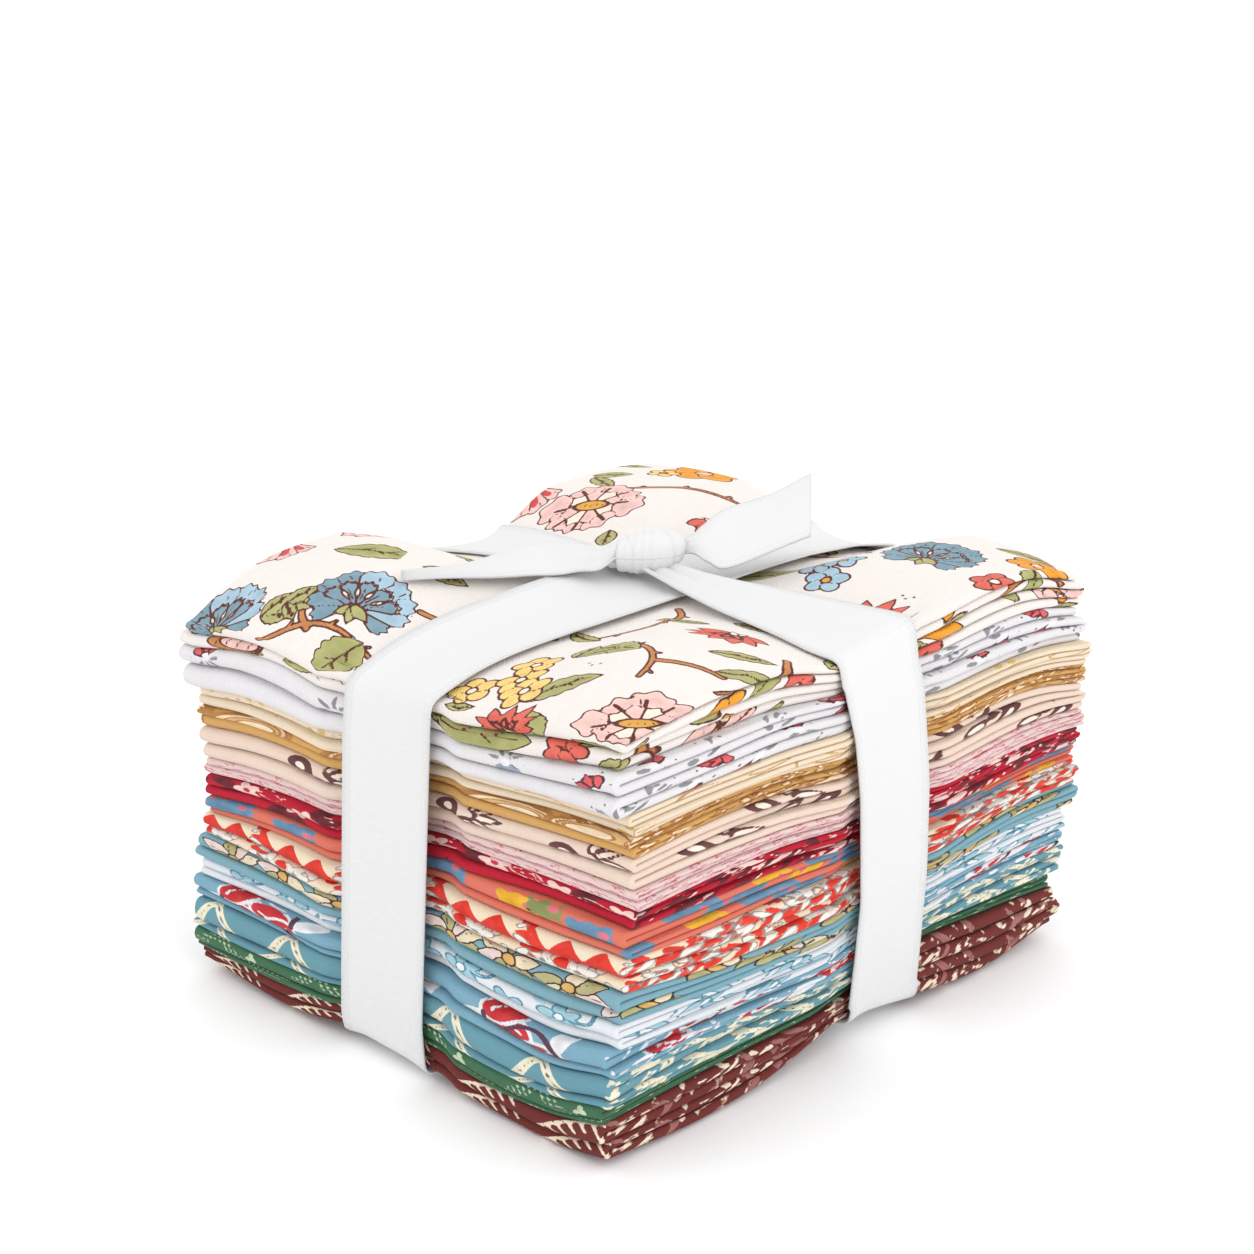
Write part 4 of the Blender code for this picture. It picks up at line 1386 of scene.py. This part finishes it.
TAPE_WIDTH = 25.4
TAPE_THICK = 0.5
FRONT_TAPE_X = (-2.6, 0.6)  # middle of the tape on the front, at the floor and at the top
ACROSS = np.linspace(-0.5, 0.5, 11)  # the lines of points along the tape, edge to edge
POINTS_ROUND = 720  # in each line round the pile
UNDER_TAPE = 6.0  # cloth this near to a line on either side holds the tape up there


def softened(line, times, closed=False):
    """A line of points evened out, each one drawn towards its neighbours."""
    for _ in range(times):
        if closed:
            line = 0.25 * np.roll(line, 1, 0) + 0.5 * line + 0.25 * np.roll(line, -1, 0)
        else:
            inner = 0.25 * line[:-2] + 0.5 * line[1:-1] + 0.25 * line[2:]
            line = np.concatenate([line[:1], inner, line[-1:]])
    return line


def taut(section, reach):
    """The closed line that tape drawn tight takes round a section, reach outside it, as evenly
    spaced points that start under the middle and run anticlockwise."""
    flat = [Vector(p) for p in section]
    loop = np.array([tuple(flat[k]) for k in convex_hull_2d(flat)])
    area = np.sum(loop[:, 0] * np.roll(loop[:, 1], -1) - np.roll(loop[:, 0], -1) * loop[:, 1])
    loop = loop if area > 0 else loop[::-1]
    steps = np.linalg.norm(np.roll(loop, -1, 0) - loop, axis=1)
    at = np.concatenate([[0], np.cumsum(steps)])
    loop = np.vstack([loop, loop[:1]])
    even = np.linspace(0, at[-1], POINTS_ROUND + 1)[:-1]
    line = np.stack([np.interp(even, at, loop[:, k]) for k in (0, 1)], -1)
    line = softened(line, 5, closed=True)
    ahead = np.roll(line, -1, 0) - np.roll(line, 1, 0)
    out = np.stack([ahead[:, 1], -ahead[:, 0]], -1)
    line = line + out / np.linalg.norm(out, axis=1, keepdims=True) * reach
    middle = (line[:, 0].min() + line[:, 0].max()) / 2
    under = line[:, 1] < line[:, 1].mean()
    start = np.argmin(np.where(under, np.abs(line[:, 0] - middle), 1e9))
    return np.roll(line, -start, 0)


def taut_band(sections, reach):
    """A taut line round each section, side by side, evened out from edge to edge."""
    lines = np.stack([taut(section, reach) for section in sections])
    return softened(lines, 3).swapaxes(0, 1)


# Fine ribs run aslant across the twill, crossed by the weft, with a corded line just inside
# each edge.
TWILL_RIB = 0.85 * MM
CORD_IN = 10.9 * MM  # from the middle of the tape to the corded line
CORD_HALF = 0.35 * MM


def white_twill():
    material = bpy.data.materials.new("white_twill_tape")
    w = Weaver(material)
    place = w.cloth()
    parts = w.nodes.new("ShaderNodeSeparateXYZ")
    w.join(parts.inputs[0], place)
    across, along = parts.outputs[0], parts.outputs[1]
    slant = w.sum("ADD", across, w.sum("MULTIPLY", along, 0.8))
    ribs = w.sum("SINE", w.sum("MULTIPLY", slant, 2 * math.pi / TWILL_RIB))
    weft = w.sum("SINE", w.sum("MULTIPLY", along, 2 * math.pi / (0.6 * TWILL_RIB)))
    fuzz = w.noise(place, 1300.0)
    from_cord = w.sum("ABSOLUTE", w.sum("SUBTRACT", w.sum("ABSOLUTE", across), CORD_IN))
    groove = w.sum("SUBTRACT", 1.0, w.sum("DIVIDE", from_cord, CORD_HALF), clamp=True)
    height = w.sum("ADD", w.sum("MULTIPLY", ribs, 0.5), w.sum("MULTIPLY", weft, 0.3))
    height = w.sum("MULTIPLY_ADD", fuzz, 1.3, w.sum("MULTIPLY_ADD", groove, -1.6, height))
    bump = w.nodes.new("ShaderNodeBump")
    bump.inputs["Strength"].default_value = 0.55
    bump.inputs["Distance"].default_value = 0.07 * MM
    w.join(bump.inputs["Height"], height)
    w.join(w.shader.inputs["Normal"], bump.outputs[0])
    # Painted shade: the tape's colour goes darker in the hollows between the ribs and along the sunken
    # corded line inside each edge, where the bump lies low.
    painted_hollow_shade = w.sum("MULTIPLY_ADD", groove, 0.5, w.sum("MULTIPLY_ADD", ribs, -0.16, 0.16), clamp=True)
    w.join(w.shader.inputs["Base Color"], w.blend(painted_hollow_shade, (0.715, 0.715, 0.72), (0.645, 0.65, 0.66)))
    w.shader.inputs["Roughness"].default_value = 0.85
    w.shader.inputs["Specular IOR Level"].default_value = 0.2
    return material


twill = white_twill()


def tape_piece(name, rows, node, closed=False):
    """A strip of tape: rows of points across it, one after another along it."""
    if closed:
        rows = np.concatenate([rows, rows[:1]])
    count, wide = rows.shape[:2]
    steps = np.linalg.norm(np.diff(rows.mean(1), axis=0), axis=1)
    along = np.concatenate([[0], np.cumsum(steps)])
    first = (np.arange(count - 1)[:, None] * wide + np.arange(wide - 1)[None, :]).reshape(-1)
    quads = np.stack([first, first + 1, first + wide + 1, first + wide], -1).tolist()
    across = np.linspace(-TAPE_WIDTH / 2, TAPE_WIDTH / 2, wide)
    flat = np.stack(np.broadcast_arrays(across[None, :], along[:, None]), -1).reshape(-1, 2)
    tape = cloth_piece(name, rows.reshape(-1, 3), quads, flat)
    thick = tape.modifiers.new("tape_thickness", "SOLIDIFY")
    thick.thickness, thick.offset = TAPE_THICK * MM, 0.0
    tape.data.materials.append(twill)
    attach(tape, "root")
    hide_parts(node)


sections = []
for part in ACROSS:
    middle = np.mean(FRONT_TAPE_X) + part * TAPE_WIDTH
    sections.append(laid[np.abs(laid[:, 0] - middle) < UNDER_TAPE][:, 1:])
y, z = np.moveaxis(taut_band(sections, reach=0.6), -1, 0)
lean = np.interp(z, (0, 80), FRONT_TAPE_X)
front_turn = np.stack([lean + ACROSS * TAPE_WIDTH, y, z], -1)
tape_piece("tape_round_front", front_turn[::2], "tape_front_loop", closed=True)


# ------------------------------------------------ the tape round the two sides
# The same tape crosses itself under the pile, comes up both sides, a little aslant, and is
# gathered narrow where it runs into the knot from each side.

KNOT = np.array([-2.1, 3.1, 92.5])
SIDE_WIDTH = 22.0
RIGHT_TAPE_Y = (10.2, 1.0)  # middle of the tape on the right side, at the floor and at the top
LEFT_TAPE_Y = (9.5, 9.0)  # and on the left side
# How wide the tape is at these distances from the knot, to its right and to its left.
GATHERED_RIGHT = ((4, 12, 34, 58), (6.5, 8.5, 16, SIDE_WIDTH))
GATHERED_LEFT = ((4, 12, 26, 50), (6.5, 9.5, 17, SIDE_WIDTH))

crossed = front_turn.reshape(-1, 3)
sections = []
for part in ACROSS:
    middle = np.mean(RIGHT_TAPE_Y) + part * SIDE_WIDTH
    cloth_there = laid[np.abs(laid[:, 1] - middle) < UNDER_TAPE]
    tape_there = crossed[np.abs(crossed[:, 1] - middle) < 5.0]
    sections.append(np.vstack([cloth_there[:, ::2], tape_there[:, ::2]]))
x, z = np.moveaxis(taut_band(sections, reach=0.55), -1, 0)
middle_x, middle_z = x.mean(1), z.mean(1)
away, right_of_knot = np.abs(middle_x - KNOT[0]), middle_x > KNOT[0]
on_top, underneath = middle_z > 80, middle_z < 8

# The middle of the tape: up each side, straight across underneath, and in to the knot on top.
right_y = np.interp(middle_z, (0, 84), RIGHT_TAPE_Y)
left_y = np.interp(middle_z, (0, 84), LEFT_TAPE_Y)
sway = np.where(middle_x > 0, right_y, left_y)
sway = np.where(underneath, np.interp(middle_x, (LEFT, RIGHT), (left_y[0], right_y[0])), sway)
edge_y = np.where(right_of_knot, RIGHT_TAPE_Y[1], LEFT_TAPE_Y[1])
into_knot = KNOT[1] - 0.6
blend = np.clip((away - 6) / 52, 0, 1) ** 0.8
sway = np.where(on_top, into_knot + (edge_y - into_knot) * blend, sway)
spread = np.where(right_of_knot, np.interp(away, *GATHERED_RIGHT), np.interp(away, *GATHERED_LEFT))
width = np.where(on_top, spread, SIDE_WIDTH)
y = sway[:, None] + ACROSS * width[:, None]
# It rises and puckers as it is gathered.
gather = np.where(on_top, np.clip(1 - (away - 4) / 26, 0, 1), 0)[:, None]
z = z + gather * (0.5 * np.cos(ACROSS * 2 * math.pi * 2.5 + 0.6) + 1.3 * gather)
# Left of the crossing this turn lies down on the cloth.
on_cloth = course_height(len(COURSES) - 1, x, y) + 0.7
lies = np.clip((KNOT[0] - 12 - x) / 10, 0, 1) * on_top[:, None]
z = z + (softened(np.minimum(z, on_cloth), 6, closed=True) - z) * lies * lies * (3 - 2 * lies)
side_turn = np.stack([x, y, z], -1)
# It is open where the knot takes it in, so it begins right of the knot and ends left of it.
knot_gap = on_top & (away < 3.5)
first = int(np.flatnonzero(knot_gap).max()) + 1
side_turn = np.roll(side_turn, -first, 0)[: len(side_turn) - int(knot_gap.sum())]


# ------------------------------------------------------ the knot and its ends
# The tape is tied once and pulled down hard: a smooth rounded lump where one turn wraps the
# gathered other, with two free ends, one lying crumpled and one springing up.

KNOT_LONG = Vector((0.72, 0.69, 0.05)).normalized()
KNOT_UP = Vector((0.0, 0.0, 1.0))
KNOT_ACROSS = KNOT_UP.cross(KNOT_LONG).normalized()
# The wrap: half its length, depth and height, and how squarely its ends turn in.
HALF_LENGTH, HALF_DEPTH, HALF_HEIGHT, SQUARENESS = 8.9, 5.8, 4.3, 2.25
Crease = namedtuple("Crease", "at slant depth wide")
CREASES = (
    Crease(-5.6, 0.30, 0.75, 0.55),
    Crease(-3.9, -0.20, 0.28, 0.45),
    Crease(4.7, -0.45, 0.60, 0.50),
    Crease(1.2, 0.12, 0.18, 0.40),
)

ball = bmesh.new()
bmesh.ops.create_icosphere(ball, subdivisions=6, radius=1.0)
directions = np.array([tuple(v.co) for v in ball.verts])
halves = np.array([HALF_LENGTH, HALF_DEPTH, HALF_HEIGHT])
wrap = directions * ((np.abs(directions / halves) ** SQUARENESS).sum(1) ** (-1 / SQUARENESS))[:, None]
# The back end sits higher and is fuller than the front one.
wrap[:, 2] += 0.06 * wrap[:, 0]
wrap[:, 1:] *= 1 + 0.016 * wrap[:, :1]
pleats = 0.13 * np.sin(wrap[:, 0] * 3.3 + 0.7 * np.sin(wrap[:, 1] * 0.8)) * (1 - directions[:, 0] ** 2)
for crease in CREASES:
    gap = wrap[:, 0] - crease.at - crease.slant * wrap[:, 1]
    pleats = pleats - crease.depth * np.exp(-((gap / crease.wide) ** 2))
wrap = wrap * (1 + pleats / np.linalg.norm(wrap, axis=1))[:, None]
placed = wrap @ np.array([KNOT_LONG, KNOT_ACROSS, KNOT_UP]) + KNOT
for vert, point in zip(ball.verts, placed):
    vert.co = Vector(point) * MM
# The twill runs round the wrap as it does along the tape.
on_tape = ball.loops.layers.uv.new("cloth")
ball.verts.index_update()
for face in ball.faces:
    face.smooth = True
    for loop in face.loops:
        spot = wrap[loop.vert.index]
        loop[on_tape].uv = (spot[0] / 1000, 5 * math.atan2(spot[2], spot[1]) / 1000)
knot_mesh = bpy.data.meshes.new("tape_knot_lump")
ball.to_mesh(knot_mesh)
ball.free()
knot_lump = bpy.data.objects.new("tape_knot_lump", knot_mesh)
bpy.context.scene.collection.objects.link(knot_lump)
knot_mesh.materials.append(twill)
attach(knot_lump, "root")
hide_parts("tape_knot")

tape_piece("tape_round_sides", side_turn[::2], "tape_side_loop")

# Each free end, from the knot out: its low edge and its high edge.
End = namedtuple("End", "low high")
RIGHT_END = (
    End((2.6, 7.4, 91.0), (1.0, 8.6, 92.6)),
    End((6.4, 8.8, 92.8), (2.4, 11.8, 94.6)),
    End((11.3, 8.5, 91.7), (2.4, 17.3, 96.7)),
    End((15.4, 9.3, 91.2), (2.6, 24.5, 98.6)),
    End((20.4, 17.0, 94.0), (5.4, 34.4, 100.6)),
    End((24.6, 25.6, 96.7), (8.3, 44.7, 103.3)),
)
LEFT_END = (
    End((-3.5, -3.5, 91.2), (-6.0, -1.0, 92.8)),
    End((-4.5, -8.5, 90.4), (-9.7, -3.1, 93.2)),
    End((-8.9, -11.9, 89.6), (-16.7, -2.9, 92.6)),
    End((-13.3, -17.9, 89.2), (-26.1, -5.8, 91.2)),
    End((-19.3, -28.6, 90.2), (-25.0, -23.5, 91.0)),
    End((-27.5, -42.2, 90.6), (-28.1, -41.6, 90.7)),
)


def free_end(ends, arch, crumple, seed):
    """Rows of points from edge to edge, arched up in the middle and crumpled near the knot."""
    at, fine = np.linspace(0, 1, len(ends)), np.linspace(0, 1, 70)
    low, high = (
        np.stack([eased(at, [edge[k] for edge in edges], fine) for k in range(3)], -1)
        for edges in zip(*ends)
    )
    part = np.linspace(0, 1, 21)[None, :, None]
    rows = low[:, None] * (1 - part) + high[:, None] * part
    bow = np.sin(math.pi * part[..., 0]) * arch
    folds = crumple * np.exp(-fine * 5)[:, None] * np.cos(part[..., 0] * 17 + 2 * fine[:, None])
    waver = 0.25 * ripple(fine[:, None] * 50, part[..., 0] * 25, seed, 18.0)
    rows[..., 2] += bow + folds + waver
    return rows


right_end, left_end = free_end(RIGHT_END, 0.8, 0.7, seed=3), free_end(LEFT_END, 1.6, 0.9, seed=8)
tape_piece("tape_end_right", right_end, "tape_tail_right")
tape_piece("tape_end_left", left_end, "tape_tail_left")
